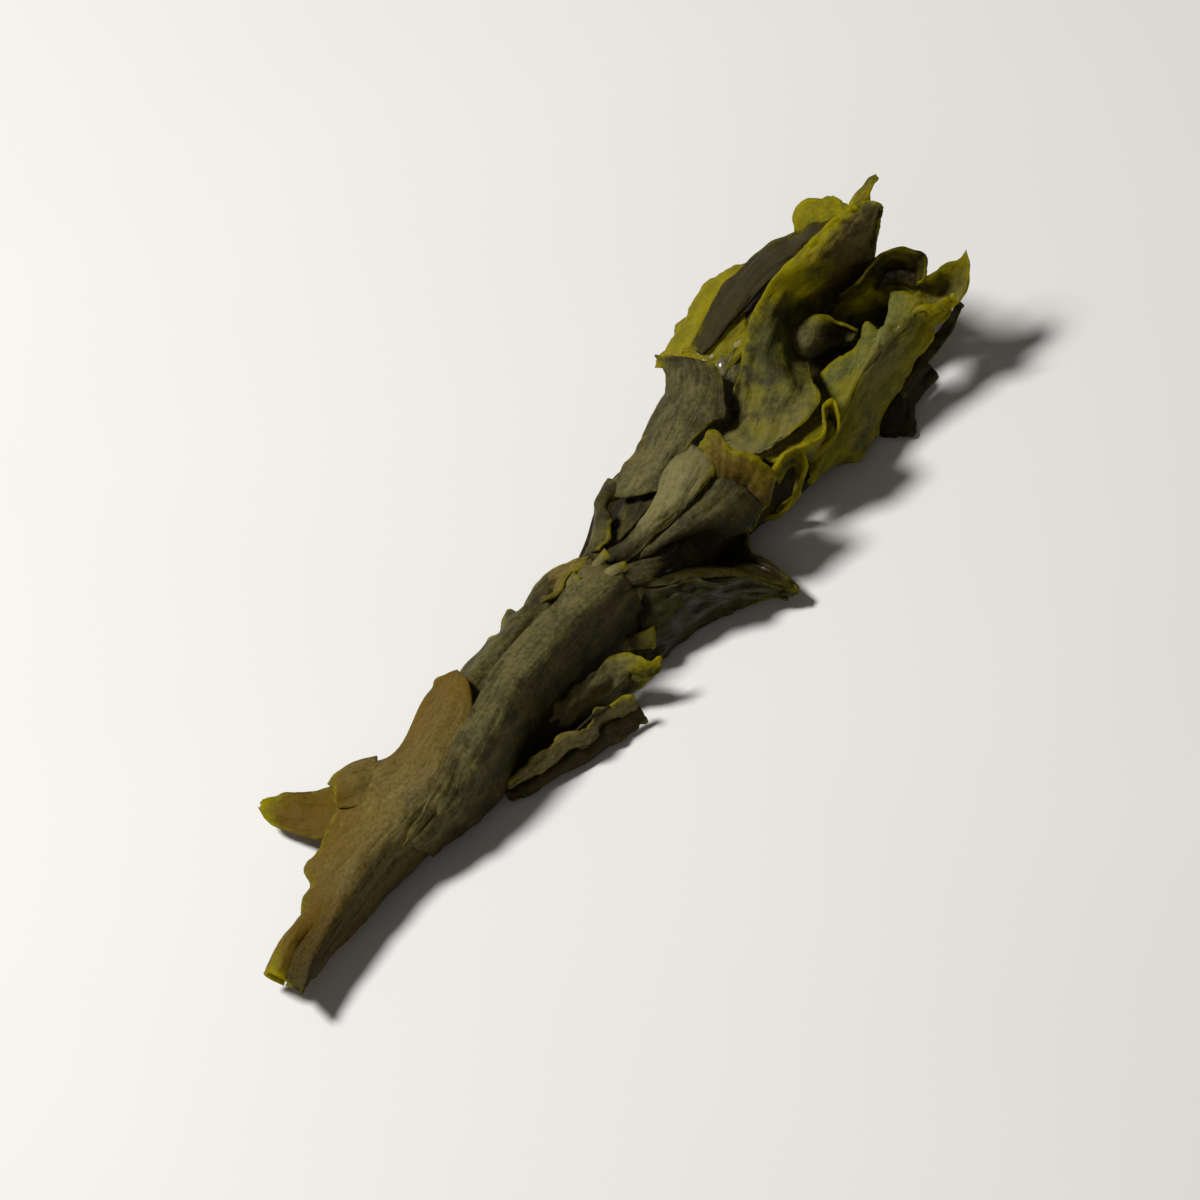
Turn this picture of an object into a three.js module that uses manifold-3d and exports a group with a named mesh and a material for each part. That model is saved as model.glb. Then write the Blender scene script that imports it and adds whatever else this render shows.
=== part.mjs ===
// One dried wakame frond: a thin blade rolled lengthwise, folded over itself at the neck
// and torn open into flaps at the wide end. It lies with its long roll along X, the rolled
// tip at -X and the torn wide end at +X, resting on z = 0. Millimetres, +Z up.
import * as THREE from "three";
import Module from "manifold-3d";

// ---- sizes of the blade as a whole ----
const BLADE_THICKNESS = 0.9;
const RESTING_HEIGHT = 0.4; // lowest height of the blade's middle surface
const RESTING_BLEND = 1.2; // height over which a low fold flattens out onto the floor
const ROUND_FROM = -60; // where a rolled section starts, degrees from its right side
const OPEN_TO = 280; // where a hollow roll ends: nearly a full turn, open underneath
const WAVE_LONG = 15; // length of the blade's slow unevenness
const WAVE_LONG_SIZE = 0.5;
const WAVE_SHORT = 6.5;
const WAVE_SHORT_SIZE = 0.3;
const WAVE_ALONG = 0.6; // unevenness is stretched along the roll by 1 / this
const WAVE_UP = 0.6; // and is this much smaller upwards
const CELL = 4.6; // a flap is cut into cells of about this size
const ROLL_CELLS = 14; // along a tight roll
const HOLLOW_ROLL_CELLS = 3;
const ROLL_CELLS_AROUND = 10;
const JOIN_TOLERANCE = 0.03; // slivers finer than this, left where sheets cross, close up
const BLADE_COLOR = 0x4a4823;
const BLADE_ROUGHNESS = 0.62;

// ---- the long roll, its brown tip and the pleats beside it ----
// centre: line through a roll. rows: lines along a flap, from its outer side to its inner side
// rise: height of its back over the surface through its rows
const LOWER_ROLL = {
  centre: [[-94, -4, 7], [-84, -2, 6.5], [-68, 1, 6], [-50, -1, 5.5], [-30, -3, 5.5], [-10, -5, 6],
    [8, -5, 6]],
  halfWidth: [1, 3, 5, 6.5, 6.5, 7.5, 8],
  halfHeight: [1, 2.5, 4, 5.5, 7, 8, 8],
};
const SMALL_ROLL = {
  centre: [[-80, -1, 7.5], [-91.5, 0, 6.5], [-98, -0.5, 4.5]],
  halfWidth: [2.2, 2.4, 2.6],
  halfHeight: [2.2],
  hollow: true,
  wave: 0.2,
};
const SHEATH = {
  rows: [
    [[-97.5, -2.5, 6], [-91, 0.5, 6.5], [-84, 4, 6], [-78.5, 6.5, 6], [-76, 10, 5.5], [-72.5, 9, 6],
     [-69, 10, 6.5], [-63.5, 12, 6.8], [-59.5, 15, 7], [-55, 14, 8], [-49, 8.5, 9],
     [-37.5, 10.5, 9], [-32, 10.5, 10], [-30, 7, 13]],
    [[-100, -8, 8], [-90.5, -5, 10], [-82, -3, 11], [-75.5, -2, 12], [-68, -2, 13],
     [-61.5, -2.5, 13.5], [-56.5, -2.5, 14], [-51, -3, 14.8], [-44.5, -2, 15.8],
     [-38.5, -0.5, 16.3], [-34.5, 0.5, 16.5]],
    [[-97, -7, 7], [-87.5, -6, 7.5], [-79, -5.5, 7.5], [-71, -5.5, 8], [-63.5, -6, 8.5],
     [-57, -7, 9], [-52, -8, 10], [-48, -8.5, 11.2], [-44.5, -8.5, 13]],
    [[-94.5, -6, 5], [-86, -5.5, 4], [-77, -5.5, 3.5], [-69, -5.5, 3], [-60.5, -6.5, 2.5],
     [-54.5, -8, 2.5], [-49, -9, 2.5], [-44.5, -10.5, 3]],
  ],
};
const BODY_LAYER = {
  rows: [
    [[-66.5, -5, 10.4], [-60.5, -6, 12.9], [-54, -6, 14.9], [-46.5, -4.5, 16.4], [-38.5, -3, 17.2],
     [-28, -1, 17], [-18, -1, 17], [-9, -1.5, 17.2], [1, -1.5, 17.4]],
    [[-64.5, -7, 8.9], [-58.5, -8.5, 10], [-53, -9.5, 11.4], [-47, -9.5, 14.1], [-39, -9, 16.1],
     [-29, -7.5, 17.2], [-18.5, -8, 17.9], [-10, -9, 18.2], [-0.5, -10.5, 17.7]],
    [[-61.5, -7.5, 2.4], [-55, -9, 2.8], [-49, -10.5, 3], [-42.5, -10.5, 3.4], [-34, -10, 4],
     [-23.5, -10, 5], [-15, -11.5, 6], [-6, -12.5, 6], [0, -13, 7]],
  ],
  crumple: 0.3,
};
const LEFT_STRIP = {
  rows: [
    [[-30.5, 10.5, 6], [-25, 10, 7], [-18.5, 10, 7.5], [-15.5, 8.5, 8], [-11.5, 9.5, 8.8],
     [-10.5, 7, 9.2], [-4, 7.5, 9.5], [1, 7, 10], [3.5, 2.5, 12]],
    [[-34, 4, 11], [-28.5, 5, 11.5], [-21.5, 5, 11.8], [-15.5, 4.5, 12], [-9.5, 4.5, 12.5],
     [-4.5, 4, 13], [1, 2, 14]],
    [[-38, -1, 11.5], [-29.5, 0.5, 10.5], [-21, 1, 10], [-13.5, 1, 10], [-6.5, 1, 10], [0, 0.5, 11]],
  ],
};
const SIDE_TAB = {
  rows: [
    [[-53, 11, 6], [-59.5, 17.5, 5], [-62.5, 22, 4.5], [-65, 26.5, 4]],
    [[-60, 7, 7], [-64.5, 13.5, 6], [-67, 18.5, 5.5], [-68, 25.5, 5]],
    [[-64, 6, 5], [-68.5, 12, 4], [-69.5, 17.5, 3.5], [-70, 23.5, 3.5]],
  ],
  roundEnd: 0.1,
  wave: 0.3,
};
const EDGE_CURL = {
  rows: [
    [[-59.5, 15.5, 7.5], [-55, 14, 8.8], [-51, 10.5, 9.2]],
    [[-61.5, 12.5, 9.5], [-59, 9.5, 11], [-55, 7.5, 10.5]],
    [[-63.5, 10.5, 8], [-62, 7, 8.8], [-59, 5, 9.6]],
  ],
  wave: 1,
};
const UPPER_PLEAT = {
  rows: [
    [[-27.5, -9, 7.5], [-22.5, -10, 8.5], [-19, -11, 9], [-16, -12.5, 9.5], [-12.5, -13.5, 10],
     [-10, -16, 10], [-9.5, -19.5, 10], [-7, -21, 9.5]],
    [[-28, -10, 3], [-25, -12, 3], [-21.5, -13, 2.5], [-18, -14, 2.5], [-15, -16, 2.5],
     [-13, -17.5, 3.5], [-11, -19, 5], [-8.5, -21, 6]],
  ],
  rise: [0.6, 1.2, 1.4, 0.8],
  crumple: 0.6,
};
const LOWER_PLEAT = {
  rows: [
    [[-43, -9, 4], [-39, -12, 6.5], [-36, -13, 7.5], [-33, -14, 7.5], [-30, -14.5, 8],
     [-27.5, -16, 7.5], [-24, -16.5, 7.5], [-21, -18, 7.5], [-17, -19, 7.5], [-15.5, -20, 7]],
    [[-42, -9.5, 1], [-39, -12, 2.5], [-37, -14, 2.5], [-34.5, -15, 3], [-31, -15.5, 3],
     [-28, -16.5, 3], [-24.5, -17.5, 3], [-21, -18.5, 3], [-17.5, -19.5, 3.5], [-15.5, -20, 4]],
  ],
  rise: [0.5],
  crumple: 0.5,
};
const VALLEY = {
  rows: [
    [[-38, -10, 4.5], [-30, -10, 5.5], [-22.5, -11, 6.5], [-16.5, -12.5, 7.5]],
    [[-39.5, -9.5, 2.5], [-33.5, -11.5, 2.5], [-25, -12.5, 3], [-18, -14.5, 4]],
    [[-40, -11.5, 4.5], [-34, -14, 6.5], [-28, -16, 7], [-20.5, -18.5, 7.5]],
  ],
  rise: [-0.8],
  crumple: 0.6,
};
const UNDER_SHEET = {
  rows: [
    [[-42.5, -9.5, 2], [-37.5, -14, 3.4], [-28, -16.5, 3.9], [-21.5, -18.5, 4.2], [-15, -20, 4.5]],
    [[-43, -11, 0.8], [-37, -15, 0.8], [-27, -18.5, 0.8], [-20.5, -20.5, 0.8], [-15.5, -21.5, 0.8]],
  ],
  rise: [0.5],
  crumple: 0.4,
};
const STRIP_FOLD = {
  rows: [
    [[-6.5, 7.5, 8.5], [-1.5, 7.5, 9.5], [2, 6, 10.5], [3.5, 4, 11.5], [5, 2, 12]],
    [[-10, 3, 11.5], [-7, 2, 12.8], [-4, 1.5, 14], [-2, 0.5, 15], [0.5, -0.5, 15.5]],
  ],
  rise: [0.8],
};
const LEFT_TOOTH = {
  rows: [
    [[-6.5, -1, 15.5], [-5.5, -0.5, 16.7], [-3.5, -1, 17.5]],
    [[-7, -2.5, 15.7], [-5.5, -3, 17], [-4, -3, 17.7]],
  ],
  rise: [0.5],
  raggedSides: 0.15,
  wave: 0.3,
};
const TOP_TOOTH = {
  rows: [
    [[-1, -2, 16.5], [0.5, -3, 17.8], [3, -3.5, 18.5]],
    [[-1.5, -3.5, 16.7], [-0.5, -4.5, 18], [2, -5, 18.3]],
  ],
  rise: [0.5],
  raggedSides: 0.15,
  wave: 0.3,
};
const RIGHT_TOOTH = {
  rows: [
    [[-1.5, -5.5, 17.5], [0, -7, 18.8], [2, -8.5, 19]],
    [[-2.5, -7, 17.2], [-1.5, -8.5, 18.3], [1, -9.5, 18.2]],
  ],
  rise: [0.5],
  raggedSides: 0.15,
  wave: 0.3,
};
const UPPER_STUB = {
  rows: [
    [[-0.5, -10.5, 14.5], [1.5, -11, 13.5], [2.5, -12, 12.5]],
    [[-0.5, -11, 12.5], [0.5, -11.5, 11], [1.5, -12.5, 10.5]],
  ],
  rise: [0.4],
};
const LOWER_STUB = {
  rows: [
    [[-10, -9.5, 9.3], [-6, -12.5, 8.6], [-1, -15, 8.6]],
    [[-11, -10.5, 7.3], [-7, -13.5, 6.4], [-4, -17, 5.6]],
  ],
  rise: [0.6],
};
// ---- the neck, the shoulder, the collar and the middle flap ----
const UPPER_ROLL = {
  centre: [[4, -5, 5.5], [25, -6, 5.5], [45, -8, 5], [62, -10, 4], [78, -12, 3]],
  halfWidth: [8, 9, 10, 11, 10],
  halfHeight: [7.5, 7.5, 7, 5, 3],
};
const NECK_FOLD = {
  rows: [
    [[5, 4.5, 10], [10, 6, 10], [14.5, 8.5, 11], [18, 9.5, 11.5], [22.5, 11, 10]],
    [[6.5, 0.5, 12.5], [9.5, 0.5, 13.5], [12.5, 2, 14], [15.5, 5.5, 13.5], [20.5, 4.5, 12]],
  ],
  rise: [0.5, 1, 1, 0.5],
};
const NECK_FLOOR = {
  rows: [
    [[3, 6, 7], [11.5, 9.5, 5], [18, 12, 5], [25, 13, 6], [29.5, 11, 8]],
    [[4, -4, 12], [9.5, -3.5, 11.5], [14.5, -3, 11], [20, -3, 12], [24.5, -4, 13]],
  ],
  rise: [-3.5],
};
const SHOULDER = {
  rows: [
    [[20, 10.5, 10.5], [25, 9.5, 12], [30.5, 9, 13], [36, 10, 14], [42, 11.5, 15], [45.5, 13, 17],
     [47.5, 16.5, 19]],
    [[18, 4, 13.5], [23, 2.5, 16.5], [28, 2, 18.5], [34, 2.5, 20], [40, 3, 21], [44, 4.5, 22],
     [47, 8, 22]],
    [[21.5, -1.5, 15], [25.5, -2.5, 17], [30, -3, 19], [35.5, -4, 20.5], [38, -6, 21],
     [42.5, -3, 22], [47, 1.5, 22]],
  ],
  tornEnd: 0.03,
};
const COLLAR = {
  rows: [
    [[3, -1, 15], [9, -3.5, 16], [13, -4.5, 17.5], [17, -5, 19], [20.5, -4, 20.5], [24.5, -4, 22],
     [28.5, -6, 23]],
    [[3, -3.5, 15.5], [9.5, -6, 17.5], [14, -8, 19.5], [18.5, -9, 21.5], [22.5, -9, 23],
     [28, -8.5, 24]],
    [[4, -5.5, 14], [10, -7.5, 16], [14, -9.5, 18], [18, -11.5, 19.5], [21.5, -12.5, 21],
     [25.5, -13, 22.5], [28, -10.5, 23.5]],
  ],
  crumple: 0.3,
};
const COLLAR_LOBE = {
  rows: [
    [[5.5, -3, 13], [11, -6.5, 15], [14.5, -9.5, 17], [18, -11, 18.8], [22, -12, 20.5],
     [25.5, -12, 21.6]],
    [[5.5, -5, 13], [9, -8.5, 15], [13.5, -12, 16.8], [17, -15, 18.3], [21.5, -17.5, 19.5],
     [26.5, -18.5, 20.2]],
    [[8, -4, 11], [12.5, -6, 11], [16.5, -9.5, 11.5], [20, -13, 12], [20, -18.5, 13],
     [23, -22, 14.5], [26.5, -21.5, 16.5]],
  ],
  crumple: 0.6,
};
const FLANGE = {
  rows: [
    [[29, -7.5, 23], [31.5, -7.5, 25], [32, -10, 25.3], [31, -13, 25], [31.5, -16.5, 24],
     [32, -19, 22.5], [31.5, -21.5, 19.5], [28.5, -21.5, 16]],
    [[27, -9.5, 23], [25.5, -12, 22.5], [25, -14, 21.5], [25.5, -15.5, 20.5], [26.5, -17, 19.5],
     [27, -18.5, 18], [26, -20.5, 17], [26, -21, 15]],
  ],
  rise: [0.6],
  raggedSides: 0.08,
  crumple: 0.3,
};
const MIDDLE_TOP = {
  rows: [
    [[10, -3, 13], [20, -7, 10], [26.5, -10, 7], [29, -15, 6], [23.5, -19.5, 6.5], [23, -25, 6],
     [21.5, -31, 4]],
    [[4, -5, 14], [9, -11, 13.5], [17, -10.5, 7], [21, -13.5, 4.5], [20.5, -19, 5],
     [20.5, -25.5, 6], [21.5, -31.5, 4]],
    [[1, -6.5, 13], [2, -11.5, 13], [5.5, -16, 13], [10, -19, 12], [16, -25, 9], [21, -31.5, 4]],
  ],
  crumple: 0.6,
};
const MIDDLE_FRONT = {
  rows: [
    [[1, -7, 12.5], [3, -13.5, 13], [7, -17.5, 13], [10, -21.5, 12], [16, -25, 9], [21, -31.5, 4]],
    [[-2, -12.5, 9], [1, -15.5, 9], [6.5, -18.5, 8.5], [11, -21.5, 7], [16.5, -25, 5.5],
     [20.5, -30.5, 3.5]],
    [[-5.5, -12.5, 2], [-2.5, -15.5, 1], [3, -17.5, 1], [11, -20, 1], [16, -24, 1.5], [20, -29.5, 3]],
  ],
  crumple: 1,
};
// ---- the torn flaps of the wide end ----
const MARGIN = {
  rows: [
    [[49, 18.5, 11], [51.5, 18, 13], [55.5, 18.5, 14.5], [60, 18, 16], [65, 18.5, 17],
     [68.5, 17.5, 17.5], [70, 14, 19]],
    [[49.5, 12, 14], [52.5, 12.5, 15.5], [56.5, 13, 16.7], [60.5, 13, 18], [65, 13, 19],
     [68.5, 12, 20], [72.5, 10.5, 21]],
  ],
  rise: [0.8],
  crumple: 0.5,
};
const BACK_LEFT = {
  rows: [
    [[52, 12.5, 16.5], [56.5, 12.5, 17.8], [61, 12.8, 18.8], [65.5, 13, 19.8], [70, 12, 21.5],
     [74, 9.5, 24], [77, 5.5, 26.5], [79, 3, 28], [81, 1, 31], [82.5, -2.5, 34]],
    [[51.5, 7.5, 19.5], [59.5, 7.5, 22], [66, 6.5, 25], [71, 3.5, 28], [75, -1, 31.5],
     [80, -4.5, 34.5]],
    [[58, 7, 20.5], [62, 5, 23], [66, 3, 26], [71.5, 0, 29], [76.5, -3.5, 33], [81, -6.5, 37]],
  ],
};
const BACK_LOBE = {
  rows: [
    [[78.5, 5.5, 27], [80, 6, 29], [82.5, 5.5, 30.5], [83.5, 2.5, 32], [84, 0.5, 33],
     [83, -2.5, 34.5], [81, -6.5, 36]],
    [[76.5, 0.5, 29], [78, -1, 31], [78, -3, 33], [79, -3.5, 34], [79.5, -5, 35], [80, -6, 36],
     [80, -7.5, 37]],
  ],
  rise: [0.6],
  crumple: 0.5,
};
const LIME_PATCH = {
  rows: [
    [[52, 13.5, 15.5], [54.5, 11, 17.5], [59, 10.5, 18.8], [62.5, 6, 20.5]],
    [[48.5, 10.5, 16], [48, 5, 17], [50, 1.5, 18.5], [55.5, 0.5, 20]],
  ],
  rise: [0.5],
  crumple: 0.4,
};
const WET_PATCH = {
  rows: [
    [[50, 7, 18], [45.5, 1.5, 17.5], [41.5, -2, 17]],
    [[56, 1, 18.5], [49, -2.5, 17], [43, -4.5, 16]],
  ],
  rise: [-0.5],
  crumple: 0.5,
};
const CREST = {
  rows: [
    [[37.5, -1.5, 17], [41.5, -4, 18], [46, -2.5, 20], [51.5, -0.5, 21.5], [55.5, 1, 23],
     [60, 2, 25], [64, 2, 27], [68, 0.5, 30], [72.5, -2, 32.5], [76.5, -4, 35], [79.5, -7, 38],
     [81, -10, 40]],
    [[35, -3.5, 15.5], [39.5, -8.5, 17.5], [46, -7, 19.5], [51.5, -5, 21.5], [56, -3.5, 23.2],
     [62.5, -1.5, 24], [67.5, -1.5, 25.5], [71.5, -4.5, 29], [75.5, -6.5, 32], [78.5, -8.5, 35],
     [80, -11, 38], [82, -12, 40]],
    [[34, -9, 15], [37.5, -14.5, 17.5], [44.5, -13, 19.5], [50.5, -12, 21.3], [57, -7, 20],
     [66.5, -1.5, 17], [72, -2.5, 17], [75.5, -5, 21], [78, -8, 26], [80, -10, 30], [82, -11.5, 34],
     [83, -12.5, 38.5]],
    [[36.5, -15, 16], [42, -18, 19.5], [49, -19.5, 20.8], [54, -15, 19], [62.5, -7, 13],
     [73, -1.5, 8], [78, -2.5, 8], [80, -5, 13], [81.5, -8.5, 20], [81.5, -10.5, 26], [82, -12, 32],
     [82.5, -13, 37]],
  ],
  crumple: 0.4,
};
const CREST_TIP = {
  rows: [
    [[79.5, -7, 38], [84, -7.5, 39.5], [87, -9.5, 41]],
    [[82, -11, 38.5], [84, -10.5, 40], [86.5, -10, 41]],
  ],
  rise: [0.5],
  wave: 0.3,
};
const HOLLOW = {
  rows: [
    [[75.5, -6.5, 18], [77, -10.5, 23], [81.5, -11, 26], [84.5, -14, 28], [86, -17.5, 25.5],
     [84.5, -19.5, 23], [83, -19, 21]],
    [[75.5, -1.5, 10], [78, -5, 13], [81, -8, 16], [83.5, -11, 19], [85, -13.5, 19],
     [85.5, -15.5, 17], [84.5, -16.5, 16]],
    [[72.5, 0, 7], [75.5, -2.5, 8], [78, -4, 8], [81.5, -6.5, 8], [83.5, -9.5, 9],
     [84.5, -11.5, 11], [84, -14.5, 14]],
  ],
  crumple: 0.8,
};
const CUP_FOLD = {
  rows: [
    [[83, -12, 21], [85, -15, 21.5], [86, -18.5, 20]],
    [[81, -10, 17], [83, -13, 17.5], [84.5, -17, 17]],
  ],
  rise: [1.2],
  crumple: 0.4,
};
const CUP_FLOOR = {
  rows: [
    [[58, 3, 10], [68, 1, 7], [78, -2, 7], [86, -8, 10]],
    [[52, -12, 11], [64, -14, 10], [76, -16, 11], [84, -19, 14]],
  ],
  rise: [-2],
  crumple: 0.4,
};
const INNER_FOLD = {
  rows: [
    [[65, 1.5, 16.5], [67, -2, 18], [69.5, -5.5, 19], [70.5, -9, 18], [71, -13, 16.5]],
    [[62.5, -1.5, 15.5], [61, -6.5, 15], [64, -7.5, 13], [69.5, -9, 12], [70.5, -12, 13]],
  ],
  rise: [0.5, 2, 2, -1, -1],
};
const FRONT = {
  rows: [
    [[57.5, -8.5, 11], [61.5, -11.5, 13], [65.5, -13, 14.6], [70, -14, 15.4], [73, -14, 16.6],
     [72.5, -17, 16.8], [74.5, -17.5, 17.3], [78, -16.5, 17.8], [80.5, -15.5, 18.4],
     [81.5, -18.5, 18.6], [83, -19.5, 19], [81, -22, 18.8], [81.5, -24.5, 19], [81, -26.5, 19],
     [83.5, -26, 19.8], [84.5, -27, 20]],
    [[43, -19.5, 9], [52, -20.5, 13], [61, -20, 15.8], [67, -20.5, 17.4], [72, -21.5, 18.4],
     [77.5, -22, 18.8], [81.5, -24, 18.8]],
    [[43.5, -18.5, 3], [50.5, -20.5, 3], [54.5, -23.5, 3], [62, -22, 4.5], [69, -22.5, 7],
     [75.5, -23.5, 11], [80.5, -24.5, 13.5], [86.5, -25.5, 17]],
  ],
  crumple: 0.9,
};
const POINTED_TIP = {
  rows: [
    [[83.5, -15, 17.5], [88, -18.5, 19], [91, -21, 20.5], [93.5, -22.5, 22]],
    [[80.5, -20, 14.5], [83, -24, 15.5], [86.5, -26, 17.5], [91, -25, 20.5]],
  ],
  rise: [-0.7],
  wave: 0.3,
};
const HANGING_SHRED = {
  rows: [
    [[61.5, -20.5, 2.5], [66.5, -21.5, 5], [70.5, -22.5, 7], [75.5, -23.5, 10]],
    [[61.5, -22, 0.5], [64.5, -27.5, 0.5], [70, -24, 1], [76, -26, 6]],
  ],
  raggedSides: 0.1,
  crumple: 0.5,
  wave: 0.3,
};
const EDGE_STRIP = {
  rows: [
    [[68.5, -22, 6.5], [75.5, -23, 10.3], [81, -24, 12.8], [86.5, -25.5, 16.5]],
    [[68.5, -23, 5], [76.5, -24.5, 9], [81.5, -26, 12], [86.5, -26, 15.5]],
  ],
  wave: 0.3,
};
const UPPER_RUFFLE = {
  rows: [
    [[37, -15, 16], [42.5, -16.5, 17.5], [48, -17.5, 18], [50.5, -19, 20]],
    [[37, -17, 16.5], [41, -21, 18], [44.5, -22.5, 18.5], [49, -21, 20]],
  ],
  rise: [-1.5],
};
const RUFFLE_LOOP = {
  rows: [
    [[41, -21, 18], [44.5, -22.5, 18.5], [47.5, -22, 19.5], [49.5, -20, 20.5], [51.5, -21, 20.5],
     [50, -23.5, 19], [47.5, -23, 16], [44, -19, 11]],
    [[42, -20, 13], [45, -21, 14], [47.5, -21, 15], [49, -20, 16], [50.5, -20, 16], [50, -22, 14],
     [47.5, -21, 11], [44, -18, 8]],
  ],
};
const LOWER_RUFFLE = {
  rows: [
    [[35.5, -18, 17], [38.5, -19, 18], [41, -20.5, 17], [40, -21.5, 13], [38, -21, 10],
     [35.5, -18, 5], [32, -14.5, 4]],
    [[35.5, -18.5, 12], [38.5, -18.5, 13], [40, -19, 12], [39, -19, 9], [37, -19, 7],
     [35.5, -16, 4], [33, -13.5, 3]],
  ],
  rise: [-1],
};
const BACK_WALL = {
  rows: [
    [[-2, 3, 7], [16, 7, 2], [38, 11, 1], [64, 12, 3], [86, 2, 14]],
    [[0, 1, 11], [20, -1, 13], [44, 1, 17], [64, 3, 23], [84, -4, 32]],
  ],
  rise: [3],
  crumple: 0.8,
};

// The order settles each shape's own crumpling.
const SHAPES = [
  LOWER_ROLL, SMALL_ROLL, SHEATH, BODY_LAYER, LEFT_STRIP, SIDE_TAB, EDGE_CURL, UPPER_PLEAT,
  LOWER_PLEAT, VALLEY, UNDER_SHEET, STRIP_FOLD, LEFT_TOOTH, TOP_TOOTH, RIGHT_TOOTH, UPPER_STUB,
  LOWER_STUB, UPPER_ROLL, NECK_FOLD, NECK_FLOOR, SHOULDER, COLLAR, COLLAR_LOBE, FLANGE, MIDDLE_TOP,
  MIDDLE_FRONT, MARGIN, BACK_LEFT, BACK_LOBE, LIME_PATCH, WET_PATCH, CREST, CREST_TIP, HOLLOW,
  CUP_FOLD, CUP_FLOOR, INNER_FOLD, FRONT, POINTED_TIP, HANGING_SHRED, EDGE_STRIP, UPPER_RUFFLE,
  RUFFLE_LOOP, LOWER_RUFFLE, BACK_WALL,
];

// ---- curves and unevenness ----
// A smooth value (or point) a share u of the way through a row of them.
function along(row, u) {
  if (row.length === 1) return row[0];
  if (Array.isArray(row[0])) {
    return [0, 1, 2].map((axis) => along(row.map((point) => point[axis]), u));
  }
  const last = row.length - 1;
  const place = Math.min(Math.max(u, 0), 1) * last;
  const i = Math.min(Math.floor(place), last - 1);
  const f = place - i;
  const b = row[i];
  const c = row[i + 1];
  const a = i > 0 ? row[i - 1] : 2 * b - c;
  const d = i < last - 1 ? row[i + 2] : 2 * c - b;
  return 0.5 * (2 * b + (c - a) * f + (2 * a - 5 * b + 4 * c - d) * f * f
    + (3 * b - a - 3 * c + d) * f * f * f);
}

function scatter(i, j, k) {
  const s = Math.sin(i * 12.9898 + j * 78.233 + k * 37.719) * 43758.5453;
  return s - Math.floor(s);
}

// Smooth random value from -1 to 1 at a point.
function uneven(x, y, z) {
  const cell = [x, y, z].map(Math.floor);
  const ease = [x, y, z].map((t, axis) => {
    const f = t - cell[axis];
    return f * f * (3 - 2 * f);
  });
  let sum = 0;
  for (let corner = 0; corner < 8; corner++) {
    const step = [corner & 1, (corner >> 1) & 1, (corner >> 2) & 1];
    const share = step.reduce((w, s, axis) => w * (s ? ease[axis] : 1 - ease[axis]), 1);
    sum += share * scatter(cell[0] + step[0], cell[1] + step[1], cell[2] + step[2]);
  }
  return 2 * sum - 1;
}

// How far a torn edge falls short, 0 to 1.
function torn(t, row) {
  const coarse = uneven(2.2 * t, row, 1.5);
  const fine = uneven(6 * t, row + 3, 1.5);
  return 0.5 + 0.3 * coarse + 0.2 * fine;
}

// ---- middle surface of a roll and of a flap; v runs from -1 to 1 across ----
function onRoll(roll, u, v) {
  const step = 1e-3;
  const centre = new THREE.Vector3(...along(roll.centre, u));
  const ahead = new THREE.Vector3(...along(roll.centre, Math.min(u + step, 1)));
  const behind = new THREE.Vector3(...along(roll.centre, Math.max(u - step, 0)));
  const run = ahead.sub(behind).normalize();
  const side = new THREE.Vector3(0, 0, 1).cross(run).normalize();
  const up = run.clone().cross(side);
  const full = roll.hollow ? OPEN_TO - ROUND_FROM : 360;
  const turn = ROUND_FROM + ((v + 1) / 2) * full;
  const angle = THREE.MathUtils.degToRad(turn);
  return centre
    .addScaledVector(side, along(roll.halfWidth, u) * Math.cos(angle))
    .addScaledVector(up, along(roll.halfHeight, u) * Math.sin(angle));
}

// A smooth surface through the flap's rows, with its back raised between the outer ones.
function onFlap(flap, u, v) {
  const step = 1e-3;
  const onRow = (row, t) => along(row, Math.min(Math.max(t, 0), 1));
  const point = new THREE.Vector3(...along(flap.rows.map((row) => onRow(row, u)), (1 - v) / 2));
  if (!flap.rise) return point;
  const outer = flap.rows[0];
  const inner = flap.rows[flap.rows.length - 1];
  const edge = (row, t) => new THREE.Vector3(...onRow(row, t));
  const middle = (t) => edge(outer, t).add(edge(inner, t)).multiplyScalar(0.5);
  const across = edge(outer, u).sub(edge(inner, u)).normalize();
  const run = middle(u + step).sub(middle(u - step)).normalize();
  const out = run.cross(across).normalize();
  return point.addScaledVector(out, along(flap.rise, u) * (1 - v * v));
}

// ---- a grid of points over a roll or flap, torn, rounded and crumpled ----
function outwardAt(grid, i, j) {
  const rows = grid.length - 1;
  const columns = grid[0].length - 1;
  const down = grid[Math.min(i + 1, rows)][j].clone().sub(grid[Math.max(i - 1, 0)][j]);
  const over = grid[i][Math.min(j + 1, columns)].clone().sub(grid[i][Math.max(j - 1, 0)]);
  return down.cross(over).normalize();
}

// How many cells a shape takes lengthwise and across.
function cellsOf(shape) {
  if (shape.centre) return [shape.hollow ? HOLLOW_ROLL_CELLS : ROLL_CELLS, ROLL_CELLS_AROUND];
  const reach = (row) => row.slice(1).reduce((sum, point, k) => {
    return sum + Math.hypot(...point.map((value, axis) => value - row[k][axis]));
  }, 0);
  const { rows } = shape;
  const length = Math.max(...rows.map(reach));
  const columns = rows[0].map((_, k) => rows.map((row) => row[Math.min(k, row.length - 1)]));
  const width = Math.max(...columns.map(reach));
  const least = rows.length > 2 || shape.rise ? rows.length : 1;
  return [Math.max(Math.round(length / CELL), 2), Math.max(Math.round(width / CELL), least)];
}

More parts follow.
